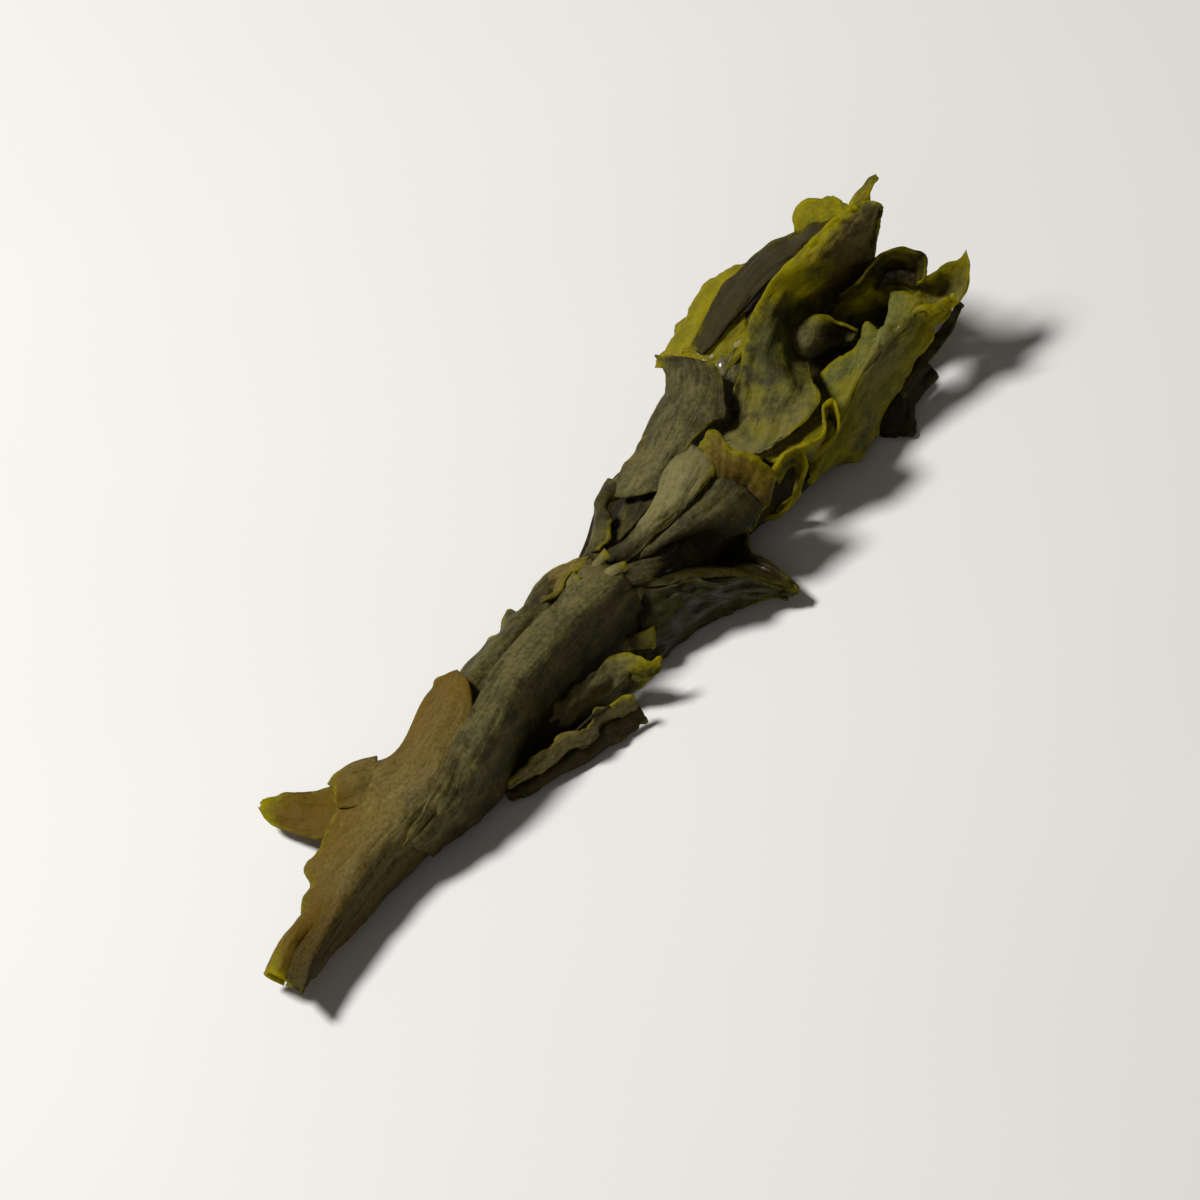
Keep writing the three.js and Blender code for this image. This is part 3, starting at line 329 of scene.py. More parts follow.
MIDDLE_PARTS = {
    "upper_roll": {
        "centre": [[4, -5, 5.5], [25, -6, 5.5], [45, -8, 5], [62, -10, 4], [78, -12, 3]],
        "half_width": [8, 9, 10, 11, 10], "half_height": [7.5, 7.5, 7, 5, 3],
    },
    "neck_fold": {
        "rows": [
            [[5, 4.5, 10], [10, 6, 10], [14.5, 8.5, 11], [18, 9.5, 11.5], [22.5, 11, 10]],
            [[6.5, 0.5, 12.5], [9.5, 0.5, 13.5], [12.5, 2, 14], [15.5, 5.5, 13.5], [20.5, 4.5, 12]],
        ],
        "rise": [0.5, 1, 1, 0.5], "free": "inner", "brown": [0.2],
        "lime": [0.2, 0.15, 0.1],
        "dust": [[0.5, 0.4], [0.2]],
    },
    # The floor of the neck hollow, given painted shade.
    "neck_floor": {
        "rows": [
            [[3, 6, 7], [11.5, 9.5, 5], [18, 12, 5], [25, 13, 6], [29.5, 11, 8]],
            [[4, -4, 12], [9.5, -3.5, 11.5], [14.5, -3, 11], [20, -3, 12], [24.5, -4, 13]],
        ],
        "rise": [-3.5],
        "dark": [1],
        "dust": [0],
    },
    "shoulder": {
        "rows": [
            [[20, 10.5, 10.5], [25, 9.5, 12], [30.5, 9, 13], [36, 10, 14], [42, 11.5, 15],
             [45.5, 13, 17], [47.5, 16.5, 19]],
            [[18, 4, 13.5], [23, 2.5, 16.5], [28, 2, 18.5], [34, 2.5, 20], [40, 3, 21],
             [44, 4.5, 22], [47, 8, 22]],
            [[21.5, -1.5, 15], [25.5, -2.5, 17], [30, -3, 19], [35.5, -4, 20.5], [38, -6, 21],
             [42.5, -3, 22], [47, 1.5, 22]],
        ],
        "torn_end": 0.03, "free": "outer inner start end", "tear": 1.6,
        "brown": [[0.6, 0.3, 0.2], [0.2], [0.2]],
        "lime": [[0.3, 0.1, 0.1, 0.2], [0.1, 0, 0, 0.1], [0.1, 0.15, 0.2]],
        "dust": [[0.4, 0.35, 0.3], [0.7, 0.5, 0.4], [0.5, 0.3]],
    },
    "collar": {
        "rows": [
            [[3, -1, 15], [9, -3.5, 16], [13, -4.5, 17.5], [17, -5, 19], [20.5, -4, 20.5],
             [24.5, -4, 22], [28.5, -6, 23]],
            [[3, -3.5, 15.5], [9.5, -6, 17.5], [14, -8, 19.5], [18.5, -9, 21.5], [22.5, -9, 23],
             [28, -8.5, 24]],
            [[4, -5.5, 14], [10, -7.5, 16], [14, -9.5, 18], [18, -11.5, 19.5], [21.5, -12.5, 21],
             [25.5, -13, 22.5], [28, -10.5, 23.5]],
        ],
        "crumple": 0.3, "ruffle": 0.5, "free": "inner end", "tear": 1.2,
        "brown": [[0], [0.1], [0.2, 0.6, 0.8]],
        "lime": [[0], [0, 0, 0.1], [0.1, 0.35, 0.6]],
        "dark": [1, 0.1, 0, 0],
        "dust": [[0.4, 1, 1], [0.4, 1, 1], [0.6, 1, 0.9, 0.5]],
    },
    "collar_lobe": {
        "rows": [
            [[5.5, -3, 13], [11, -6.5, 15], [14.5, -9.5, 17], [18, -11, 18.8], [22, -12, 20.5],
             [25.5, -12, 21.6]],
            [[5.5, -5, 13], [9, -8.5, 15], [13.5, -12, 16.8], [17, -15, 18.3],
             [21.5, -17.5, 19.5], [26.5, -18.5, 20.2]],
            [[8, -4, 11], [12.5, -6, 11], [16.5, -9.5, 11.5], [20, -13, 12], [20, -18.5, 13],
             [23, -22, 14.5], [26.5, -21.5, 16.5]],
        ],
        "crumple": 0.6, "free": "inner", "tear": 0.8,
        "dust": [[1, 0.7, 0.3], [0.6, 0.3, 0.3], [0.1]],
        "lime": [[0.1, 0, 0.3], [0], [0, 0.1, 0.3]],
        "wet": [[0], [0.2], [0.3]],
        "dark": [[0.6, 0], [0.8, 0.3, 0.2], [0.9, 0.7]],
    },
    "flange": {
        "rows": [
            [[29, -7.5, 23], [31.5, -7.5, 25], [32, -10, 25.3], [31, -13, 25], [31.5, -16.5, 24],
             [32, -19, 22.5], [31.5, -21.5, 19.5], [28.5, -21.5, 16]],
            [[27, -9.5, 23], [25.5, -12, 22.5], [25, -14, 21.5], [25.5, -15.5, 20.5],
             [26.5, -17, 19.5], [27, -18.5, 18], [26, -20.5, 17], [26, -21, 15]],
        ],
        "rise": [0.6], "crumple": 0.3, "ribs": 0.12, "free": "outer start end", "tear": 1.8,
        "ragged_sides": 0.08,
        "brown": [[0.5, 0.8, 0.5], [0.8, 1, 0.8]],
        "dust": [[0.3, 0.1], [0.2]],
        "lime": [[0.7, 0.4, 0.4], [0.3, 0.1, 0.3]],
        "dark": [[0, 0.2], [0.4, 0.6, 0.4]],
    },
    "middle_top": {
        "rows": [
            [[10, -3, 13], [20, -7, 10], [26.5, -10, 7], [29, -15, 6], [23.5, -19.5, 6.5],
             [23, -25, 6], [21.5, -31, 4]],
            [[4, -5, 14], [9, -11, 13.5], [17, -10.5, 7], [21, -13.5, 4.5], [20.5, -19, 5],
             [20.5, -25.5, 6], [21.5, -31.5, 4]],
            [[1, -6.5, 13], [2, -11.5, 13], [5.5, -16, 13], [10, -19, 12], [16, -25, 9],
             [21, -31.5, 4]],
        ],
        "crumple": 0.6, "free": "outer end", "tear": 0.6,
        "brown": [0.3],
        "lime": [[0, 0, 0.2, 0.3, 0.4], [0, 0, 0, 0.3], [0, 0.1, 0.3]],
        "dust": [[0.5, 0, 0], [0.5, 0.2], [0.3, 0.2, 0]],
        "wet": [[0.1], [0.2, 0.5, 0.4], [0.3]],
        "dark": [[0.6, 0.8, 0.6, 0.5], [0.5, 0.9, 0.9, 0.5], [0.4, 0.4, 0.3]],
    },
    "middle_front": {
        "rows": [
            [[1, -7, 12.5], [3, -13.5, 13], [7, -17.5, 13], [10, -21.5, 12], [16, -25, 9],
             [21, -31.5, 4]],
            [[-2, -12.5, 9], [1, -15.5, 9], [6.5, -18.5, 8.5], [11, -21.5, 7], [16.5, -25, 5.5],
             [20.5, -30.5, 3.5]],
            [[-5.5, -12.5, 2], [-2.5, -15.5, 1], [3, -17.5, 1], [11, -20, 1], [16, -24, 1.5],
             [20, -29.5, 3]],
        ],
        "crumple": 1, "free": "inner end", "tear": 0.6, "brown": [0.2],
        "green": [0.5],
        "wet": [0.2, 0.4, 0.2],
        "dark": [0.7, 0.6, 0.5],
        "lime": [[0.1, 0.2, 0.3], [0], [0, 0.1, 0.3]],
    },
}
WIDE_END_PARTS = {
    "margin": {
        "rows": [
            [[49, 18.5, 11], [51.5, 18, 13], [55.5, 18.5, 14.5], [60, 18, 16], [65, 18.5, 17],
             [68.5, 17.5, 17.5], [70, 14, 19]],
            [[49.5, 12, 14], [52.5, 12.5, 15.5], [56.5, 13, 16.7], [60.5, 13, 18], [65, 13, 19],
             [68.5, 12, 20], [72.5, 10.5, 21]],
        ],
        "rise": [0.8], "crumple": 0.5, "ruffle": 1.2, "free": "outer start end", "tear": 1.6,
        "dust": [[0.5, 0.6, 0.5], [0.3]],
        "lime": [[1], [1]],
    },
    "back_left": {
        "rows": [
            [[52, 12.5, 16.5], [56.5, 12.5, 17.8], [61, 12.8, 18.8], [65.5, 13, 19.8],
             [70, 12, 21.5], [74, 9.5, 24], [77, 5.5, 26.5], [79, 3, 28], [81, 1, 31],
             [82.5, -2.5, 34]],
            [[51.5, 7.5, 19.5], [59.5, 7.5, 22], [66, 6.5, 25], [71, 3.5, 28], [75, -1, 31.5],
             [80, -4.5, 34.5]],
            [[58, 7, 20.5], [62, 5, 23], [66, 3, 26], [71.5, 0, 29], [76.5, -3.5, 33],
             [81, -6.5, 37]],
        ],
        "free": "outer start", "tear": 0.7,
        "lime": [[0.2, 0.1, 0.2, 0.4, 0.8], [0, 0, 0.3], [0.1, 0, 0.2]],
        "dust": [[0.3, 0.15, 0.1, 0], [0.2, 0.1, 0.1, 0], [0.1, 0]],
        "dark": [[0.6, 0.7, 0.6, 0.4], [0.6, 0.7, 0.7, 0.4], [0.5, 0.7]],
        "brown": [[0.4, 0.4, 0.4, 0.4], [0.4], [0.4]],
    },
    "back_lobe": {
        "rows": [
            [[78.5, 5.5, 27], [80, 6, 29], [82.5, 5.5, 30.5], [83.5, 2.5, 32], [84, 0.5, 33],
             [83, -2.5, 34.5], [81, -6.5, 36]],
            [[76.5, 0.5, 29], [78, -1, 31], [78, -3, 33], [79, -3.5, 34], [79.5, -5, 35],
             [80, -6, 36], [80, -7.5, 37]],
        ],
        "rise": [0.6], "crumple": 0.5, "ruffle": 1.2, "free": "outer start end", "tear": 1.2,
        "brown": [0.3], "lime": [[1], [0.9]],
    },
    "lime_patch": {
        "rows": [
            [[52, 13.5, 15.5], [54.5, 11, 17.5], [59, 10.5, 18.8], [62.5, 6, 20.5]],
            [[48.5, 10.5, 16], [48, 5, 17], [50, 1.5, 18.5], [55.5, 0.5, 20]],
        ],
        "rise": [0.5], "crumple": 0.4, "free": "outer inner start", "tear": 0.9, "lime": [[1], [1]],
        "wet": [0.3],
    },
    "wet_patch": {
        "rows": [
            [[50, 7, 18], [45.5, 1.5, 17.5], [41.5, -2, 17]],
            [[56, 1, 18.5], [49, -2.5, 17], [43, -4.5, 16]],
        ],
        "rise": [-0.5], "crumple": 0.5, "dust": [0.7], "green": [0.4], "wet": [0.8],
    },
    "crest": {
        "rows": [
            [[37.5, -1.5, 17], [41.5, -4, 18], [46, -2.5, 20], [51.5, -0.5, 21.5], [55.5, 1, 23],
             [60, 2, 25], [64, 2, 27], [68, 0.5, 30], [72.5, -2, 32.5], [76.5, -4, 35],
             [79.5, -7, 38], [81, -10, 40]],
            [[35, -3.5, 15.5], [39.5, -8.5, 17.5], [46, -7, 19.5], [51.5, -5, 21.5],
             [56, -3.5, 23.2], [62.5, -1.5, 24], [67.5, -1.5, 25.5], [71.5, -4.5, 29],
             [75.5, -6.5, 32], [78.5, -8.5, 35], [80, -11, 38], [82, -12, 40]],
            [[34, -9, 15], [37.5, -14.5, 17.5], [44.5, -13, 19.5], [50.5, -12, 21.3], [57, -7, 20],
             [66.5, -1.5, 17], [72, -2.5, 17], [75.5, -5, 21], [78, -8, 26], [80, -10, 30],
             [82, -11.5, 34], [83, -12.5, 38.5]],
            [[36.5, -15, 16], [42, -18, 19.5], [49, -19.5, 20.8], [54, -15, 19], [62.5, -7, 13],
             [73, -1.5, 8], [78, -2.5, 8], [80, -5, 13], [81.5, -8.5, 20], [81.5, -10.5, 26],
             [82, -12, 32], [82.5, -13, 37]],
        ],
        "crumple": 0.4, "free": "outer inner start end", "tear": 0.6,
        "brown": [[0.2, 0.2, 0.3], [0, 0.2, 0.5, 0.4], [0, 0, 0.3, 0.6, 0.4], [0.2]],
        "lime": [[0.5, 0.3, 0.5, 0.9, 0.95, 0.8], [0.5, 0.6, 0.25, 0.2, 0.8, 0.3, 0.2, 0.5],
                 [0.5, 0.6, 0.35, 0.4, 0.3, 0.1, 0.1, 0.4], [0.6, 0.6, 0.4, 0.2, 0.1, 0.1, 0.4]],
        "green": [[0.2], [0.4, 0.35, 0], [0.4, 0.4, 0], [0.6]],
        "dust": [[0.4, 0.2, 0.2, 0.2], [0.8, 0.3, 0, 0.1, 0.4, 0.4],
                 [0.9, 0.4, 0, 0.1, 0.4, 0.4], [1, 0.7, 0.2, 0, 0]],
    },
    "crest_tip": {
        "rows": [
            [[79.5, -7, 38], [84, -7.5, 39.5], [87, -9.5, 41]],
            [[82, -11, 38.5], [84, -10.5, 40], [86.5, -10, 41]],
        ],
        "rise": [0.5], "wave": 0.3,
        "free": "outer inner end", "lime": [0.5], "brown": [0.2],
    },
    # Lightened with yellow-green glow and moss green as painted light in the shaded cup.
    "hollow": {
        "rows": [
            [[75.5, -6.5, 18], [77, -10.5, 23], [81.5, -11, 26], [84.5, -14, 28], [86, -17.5, 25.5],
             [84.5, -19.5, 23], [83, -19, 21]],
            [[75.5, -1.5, 10], [78, -5, 13], [81, -8, 16], [83.5, -11, 19], [85, -13.5, 19],
             [85.5, -15.5, 17], [84.5, -16.5, 16]],
            [[72.5, 0, 7], [75.5, -2.5, 8], [78, -4, 8], [81.5, -6.5, 8], [83.5, -9.5, 9],
             [84.5, -11.5, 11], [84, -14.5, 14]],
        ],
        "crumple": 0.8, "free": "outer end", "tear": 0.7,
        "green": [0.5],
        "lime": [[0.3, 0.4, 0.2], [0.7], [0.7]],
        "wet": [0.4],
        "brown": [[0.6], [0.1], [0.1]],
    },
    "cup_fold": {
        "rows": [
            [[83, -12, 21], [85, -15, 21.5], [86, -18.5, 20]],
            [[81, -10, 17], [83, -13, 17.5], [84.5, -17, 17]],
        ],
        "rise": [1.2], "crumple": 0.4, "free": "outer start", "dust": [0.4], "wet": [1],
    },
    # Lightened with yellow-green glow and moss green as painted light in the shaded cup.
    "cup_floor": {
        "rows": [
            [[58, 3, 10], [68, 1, 7], [78, -2, 7], [86, -8, 10]],
            [[52, -12, 11], [64, -14, 10], [76, -16, 11], [84, -19, 14]],
        ],
        "rise": [-2], "crumple": 0.4, "brown": [0.2],
        "wet": [0.2],
        "green": [0.6],
        "lime": [0.5],
    },
    "inner_fold": {
        "rows": [
            [[65, 1.5, 16.5], [67, -2, 18], [69.5, -5.5, 19], [70.5, -9, 18], [71, -13, 16.5]],
            [[62.5, -1.5, 15.5], [61, -6.5, 15], [64, -7.5, 13], [69.5, -9, 12], [70.5, -12, 13]],
        ],
        "rise": [0.5, 2, 2, -1, -1], "free": "outer",
        "green": [0.4], "wet": [0.3, 0.6],
        "lime": [[0.5, 0.6, 0.6], [0.1]],
        "dust": [[0.5, 0.6, 0.3, 0], [0.8, 0.8, 0.4, 0]],
    },
    "front": {
        "rows": [
            [[57.5, -8.5, 11], [61.5, -11.5, 13], [65.5, -13, 14.6], [70, -14, 15.4],
             [73, -14, 16.6], [72.5, -17, 16.8], [74.5, -17.5, 17.3], [78, -16.5, 17.8],
             [80.5, -15.5, 18.4], [81.5, -18.5, 18.6], [83, -19.5, 19], [81, -22, 18.8],
             [81.5, -24.5, 19], [81, -26.5, 19], [83.5, -26, 19.8], [84.5, -27, 20]],
            [[43, -19.5, 9], [52, -20.5, 13], [61, -20, 15.8], [67, -20.5, 17.4],
             [72, -21.5, 18.4], [77.5, -22, 18.8], [81.5, -24, 18.8]],
            [[43.5, -18.5, 3], [50.5, -20.5, 3], [54.5, -23.5, 3], [62, -22, 4.5], [69, -22.5, 7],
             [75.5, -23.5, 11], [80.5, -24.5, 13.5], [86.5, -25.5, 17]],
        ],
        "crumple": 0.9, "free": "outer inner start end", "tear": 2.2,
        "wet": [[0.2], [0.1, 0.2, 0.4, 0.3], [0.1]],
        "dust": [[0.3, 0.4, 0.5, 0.3, 0], [0.3, 0.5, 0.8, 0.5, 0], [0.2, 0.3, 0.1]],
        "green": [[0.6, 0.9, 0.9, 0.5], [0.6, 0.8, 1, 0.6], [0.5, 0.5, 0.2]],
        "brown": [[0], [0], [0.3]],
        "lime": [[0.4, 0.4, 0.45, 0.7, 1], [0.8, 0.75, 0.55, 0.6, 1], [0.5, 0.6, 0.7, 1]],
    },
    "pointed_tip": {
        "rows": [
            [[83.5, -15, 17.5], [88, -18.5, 19], [91, -21, 20.5], [93.5, -22.5, 22]],
            [[80.5, -20, 14.5], [83, -24, 15.5], [86.5, -26, 17.5], [91, -25, 20.5]],
        ],
        "rise": [-0.7], "wave": 0.3, "free": "outer inner end",
        "green": [0.4], "wet": [0.3],
        "dust": [[0.3], [0.6, 0.6]],
        "lime": [[0.7], [0.5]],
    },
    "hanging_shred": {
        "rows": [
            [[61.5, -20.5, 2.5], [66.5, -21.5, 5], [70.5, -22.5, 7], [75.5, -23.5, 10]],
            [[61.5, -22, 0.5], [64.5, -27.5, 0.5], [70, -24, 1], [76, -26, 6]],
        ],
        "ragged_sides": 0.1, "crumple": 0.5, "wave": 0.3, "ruffle": 1.3, "free": "inner start end",
        "tear": 2, "brown": [0.4], "dark": [0.8],
    },
    "edge_strip": {
        "rows": [
            [[68.5, -22, 6.5], [75.5, -23, 10.3], [81, -24, 12.8], [86.5, -25.5, 16.5]],
            [[68.5, -23, 5], [76.5, -24.5, 9], [81.5, -26, 12], [86.5, -26, 15.5]],
        ],
        "wave": 0.3, "ruffle": 1.2, "free": "inner end", "tear": 0.8, "brown": [0.3], "dark": [0.5],
    },
    "upper_ruffle": {
        "rows": [
            [[37, -15, 16], [42.5, -16.5, 17.5], [48, -17.5, 18], [50.5, -19, 20]],
            [[37, -17, 16.5], [41, -21, 18], [44.5, -22.5, 18.5], [49, -21, 20]],
        ],
        "rise": [-1.5], "free": "inner", "dust": [0.3, 0.1], "lime": [[0.5], [1]], "wet": [0.6],
    },
    "ruffle_loop": {
        "rows": [
            [[41, -21, 18], [44.5, -22.5, 18.5], [47.5, -22, 19.5], [49.5, -20, 20.5],
             [51.5, -21, 20.5], [50, -23.5, 19], [47.5, -23, 16], [44, -19, 11]],
            [[42, -20, 13], [45, -21, 14], [47.5, -21, 15], [49, -20, 16], [50.5, -20, 16],
             [50, -22, 14], [47.5, -21, 11], [44, -18, 8]],
        ],
        "free": "outer", "dust": [[0.1], [0.5]], "lime": [[0.9], [0.3]], "wet": [0.3],
    },
    "lower_ruffle": {
        "rows": [
            [[35.5, -18, 17], [38.5, -19, 18], [41, -20.5, 17], [40, -21.5, 13], [38, -21, 10],
             [35.5, -18, 5], [32, -14.5, 4]],
            [[35.5, -18.5, 12], [38.5, -18.5, 13], [40, -19, 12], [39, -19, 9], [37, -19, 7],
             [35.5, -16, 4], [33, -13.5, 3]],
        ],
        "rise": [-1], "free": "outer", "brown": [[0.1], [0.5]], "lime": [[1], [0.5]],
    },
    "back_wall": {
        "rows": [
            [[-2, 3, 7], [16, 7, 2], [38, 11, 1], [64, 12, 3], [86, 2, 14]],
            [[0, 1, 11], [20, -1, 13], [44, 1, 17], [64, 3, 23], [84, -4, 32]],
        ],
        "rise": [3], "crumple": 0.8, "free": "outer end", "dust": [0.3], "brown": [0.2],
        "dark": [0.3],
    },
}
# A shape's number, its place in this order, seeds its crumpling.
ORDER = [*LOWER_PARTS, *MIDDLE_PARTS, *WIDE_END_PARTS]


# ---- curves and unevenness ----
def along(row, u):
    """A smooth value or point a share u of the way through a row of them."""
    row = np.atleast_1d(np.asarray(row, float))
    u = np.asarray(u, float)
    if len(row) == 1:
        return np.broadcast_to(row[0], u.shape + row.shape[1:]).copy()
    last = len(row) - 1
    place = np.clip(u, 0, 1) * last
    i = np.minimum(place.astype(int), last - 1)
    f = place - i
    shape = u.shape + (1,) * (row.ndim - 1)
    f, first, final = f.reshape(shape), (i == 0).reshape(shape), (i == last - 1).reshape(shape)
    b, c = row[i], row[i + 1]
    a = np.where(first, 2 * b - c, row[np.maximum(i - 1, 0)])
    d = np.where(final, 2 * c - b, row[np.minimum(i + 2, last)])
    return 0.5 * (2 * b + (c - a) * f + (2 * a - 5 * b + 4 * c - d) * f**2
                  + (3 * b - a - 3 * c + d) * f**3)


def scatter(i, j, k):
    """A value from 0 to 1 for a cell, without order."""
    s = np.sin(i * 12.9898 + j * 78.233 + k * 37.719) * 43758.5453
    return s - np.floor(s)


def uneven(x, y, z):
    """Smooth random value from -1 to 1 at a point."""
    point = np.broadcast_arrays(*(np.asarray(t, float) for t in (x, y, z)))
    cell = [np.floor(t) for t in point]
    ease = [(t - c) ** 2 * (3 - 2 * (t - c)) for t, c in zip(point, cell)]
    total = 0
    for corner in range(8):
        step = [corner & 1, (corner >> 1) & 1, (corner >> 2) & 1]
        share = 1
        for s, e in zip(step, ease):
            share = share * (e if s else 1 - e)
        total = total + share * scatter(*(c + s for c, s in zip(cell, step)))
    return 2 * total - 1


def torn(t, row):
    """How far a torn edge falls short, 0 to 1."""
    return 0.5 + 0.3 * uneven(2.2 * t, row, 1.5) + 0.2 * uneven(6 * t, row + 3, 1.5)


def unit(vectors):
    return vectors / np.maximum(np.linalg.norm(vectors, axis=-1, keepdims=True), 1e-9)


# ---- the frond's form ----
def on_roll(shape, u, v):
    """A rolled sheet round its centre line; v runs from -1 to 1 round it."""
    step = RUN_STEP
    centre = np.array(shape["centre"], float)
    run = unit(along(centre, np.minimum(u + step, 1)) - along(centre, np.maximum(u - step, 0)))
    side = unit(np.cross(np.broadcast_to([0.0, 0.0, 1.0], run.shape), run))
    up = np.cross(run, side)
    full = OPEN_TO - ROUND_FROM if shape.get("hollow") else 360
    angle = np.radians(ROUND_FROM + (v + 1) / 2 * full)
    wide = along(shape["half_width"], u) * np.cos(angle)
    high = along(shape["half_height"], u) * np.sin(angle)
    return along(centre, u) + wide[..., None] * side + high[..., None] * up


def spread(points, share):
    """A smooth curve across a few rows of points, a share of the way from the first."""
    last = len(points) - 1
    place = np.clip(share, 0, 1) * last
    total = 0
    for i in range(last):
        f = np.clip(place - i, 0, 1)[..., None]
        inside = ((place >= i) & ((place < i + 1) | (i == last - 1)))[..., None]
        b, c = points[i], points[i + 1]
        a = points[i - 1] if i else 2 * b - c
        d = points[i + 2] if i < last - 1 else 2 * c - b
        total = total + inside * 0.5 * (2 * b + (c - a) * f + (2 * a - 5 * b + 4 * c - d) * f**2
                                        + (3 * b - a - 3 * c + d) * f**3)
    return total


def on_flap(shape, u, v):
    """A smooth surface through the flap's rows, with its back raised between the outer ones."""
    rows = [np.array(row, float) for row in shape["rows"]]
    points = spread([along(row, u) for row in rows], (1 - v) / 2)
    if "rise" not in shape:
        return points
    step = RUN_STEP
    outer, inner = rows[0], rows[-1]

    def middle(t):
        return (along(outer, np.clip(t, 0, 1)) + along(inner, np.clip(t, 0, 1))) / 2

    run = unit(middle(u + step) - middle(u - step))
    out = unit(np.cross(run, unit(along(outer, u) - along(inner, u))))
    swell = np.maximum(1 - v**2, 0)
    return points + out * (along(shape["rise"], u) * swell)[..., None]


def placed(shape, seed, u, v):
    """The flap or roll with its torn end, ragged sides and rounded end."""
    ended = u * (1 - shape.get("torn_end", 0) * torn(v + seed, 4.5))
    ragged = 1 - shape.get("ragged_sides", 0) * torn(4 * ended + seed, 11.5 + 3 * np.sign(v))
    rounded = 1.0
    if "round_end" in shape:
        past = np.maximum((ended - 1) / shape["round_end"] + 1, 0)
        rounded = np.sqrt(np.maximum(1 - past**2, BLUNTEST_TIP))
    place = on_roll if "centre" in shape else on_flap
    return place(shape, ended, v * ragged * rounded)


def outward(surface, u, v):
    """Unit normals of a surface given as a function of u and v."""
    step = NORMAL_STEP
    down = surface(np.minimum(u + step, 1), v) - surface(np.maximum(u - step, 0), v)
    over = surface(u, np.minimum(v + step, 1)) - surface(u, np.maximum(v - step, -1))
    return unit(np.cross(down, over))


def waved(points, share):
    """Slow unevenness that runs on from one shape to the next."""
    moved = points.copy()
    x, y, z = points[..., 0], points[..., 1], points[..., 2]
    for length, size in WAVES:
        for axis in range(3):
            scale = share * size * (WAVE_UP if axis == 2 else 1)
            moved[..., axis] += scale * uneven(
                x * WAVE_ALONG / length + axis * 17.3, y / length + 5.1, z / length + 9.7)
    return moved


def form(shape, number, u, v):
    """The frond's form as its solid has it."""
    seed = number * SEED_STEP
    points = placed(shape, seed, u, v)
    if "crumple" in shape:
        size = uneven(6 * u + seed, 4 * v, 0.5) + 0.5 * uneven(15 * u + seed, 10 * v, 4.5)
        normals = outward(lambda a, b: placed(shape, seed, a, b), u, v)
        points = points + normals * (shape["crumple"] * size)[..., None]
    return waved(points, shape.get("wave", 1))


def rested(points, lowest):
    """A low fold flattens out onto the floor instead of passing through it."""
    over = points[..., 2] - lowest
    r = RESTING_BLEND
    low = np.where(over < -r, 0, (over + r) ** 2 / (4 * r))
    points[..., 2] = lowest + np.where(over > r, over, low)
    return points


# ---- fine relief and looks over one roll or flap ----
def spans(shape):
    """Length of a shape, and its half width along u, in millimetres."""
    u = np.linspace(0, 1, SPAN_STEPS)
    if "centre" in shape:
        line = along(np.array(shape["centre"], float), u)
        half = math.pi * (along(shape["half_width"], u) + along(shape["half_height"], u)) / 2
    else:
        rows = [along(np.array(row, float), u) for row in shape["rows"]]
        line = sum(rows) / len(rows)
        half = sum(np.linalg.norm(b - a, axis=1) for a, b in zip(rows, rows[1:])) / 2
    length = np.linalg.norm(np.diff(line, axis=0), axis=1).sum()
    return length, half


def edge_distance(shape, u, v, length, half):
    """Millimetres to the nearest free edge, capped."""
    free = shape.get("free", "")
    away = np.full(u.shape, FAR_FROM_EDGE)
    if "outer" in free:
        away = np.minimum(away, (1 - v) * half)
    if "inner" in free:
        away = np.minimum(away, (1 + v) * half)
    if "start" in free:
        away = np.minimum(away, u * length)
    if "end" in free:
        away = np.minimum(away, (1 - u) * length)
    return away


def nibbled(shape, seed, u, v, sizes, length, half):
    """Moves u and v in from free edges so that they are finely torn."""
    free = shape.get("free", "")

    def bite(t, row):
        fine = np.maximum(uneven(t / FINE_TEAR_LENGTH, row, seed), 0) * 0.5
        deep = np.maximum(uneven(t / DEEP_TEAR_LENGTH, row + 5, seed), 0)
        return sizes.tear * shape.get("tear", 1) * (fine + deep)

    s, t = u * length, v * half
    edges = (("outer", 1, s), ("inner", -1, s))
    for name, side, run in edges:
        if name in free:
            near = np.clip(1 - (1 - side * v) * half / TEAR_REACH, 0, 1)
            v = v - side * near * np.minimum(bite(run, side * 3.5) / half, DEEPEST_TEAR)
    if "end" in free:
        near = np.clip(1 - (1 - u) * length / TEAR_REACH, 0, 1)
        u = u - near * np.minimum(bite(t, 9.5) / length, DEEPEST_TEAR)
    return u, v


def relief(shape, seed, s, t, away, sizes):
    """Fine crumpling along the normal, in millimetres."""
    grain = 1 - 2 * np.abs(uneven(s / GRAIN_LENGTH, t / GRAIN_WIDTH, seed))
    coarse = uneven(s / CRINKLE_LENGTH, t / CRINKLE_WIDTH, seed + 3.3)
    fine = uneven(s / FINE_CRINKLE_LENGTH, t / FINE_CRINKLE_WIDTH, seed + 6.1)
    crinkle = coarse + 0.4 * fine
    slow = uneven(s / RUFFLE_LENGTH, t / RUFFLE_WIDTH, seed + 8.7)
    quick = uneven(s / FINE_RUFFLE_LENGTH, t / RUFFLE_WIDTH, seed + 4.1)
    ruffle = np.exp(-away / RUFFLE_REACH) * (slow + 0.5 * quick)
    ribs = np.sin(2 * np.pi * s / RIB_SPACING + 2 * uneven(s / 5, t / 4, seed))
    flat = sizes.grain * grain + sizes.crinkle * crinkle + shape.get("ribs", 0) * ribs
    return shape.get("fine", 1) * (flat + shape.get("ruffle", 1) * sizes.ruffle * ruffle)


def look(values, u, v):
    """A look's strength over a shape, from a row along it or a row for each of its rows."""
    rows = values if isinstance(values[0], (list, tuple)) else [values, values]
    across = [along(row, u)[..., None] for row in rows]
    return np.clip(spread(across, (1 - v) / 2)[..., 0], 0, 1)


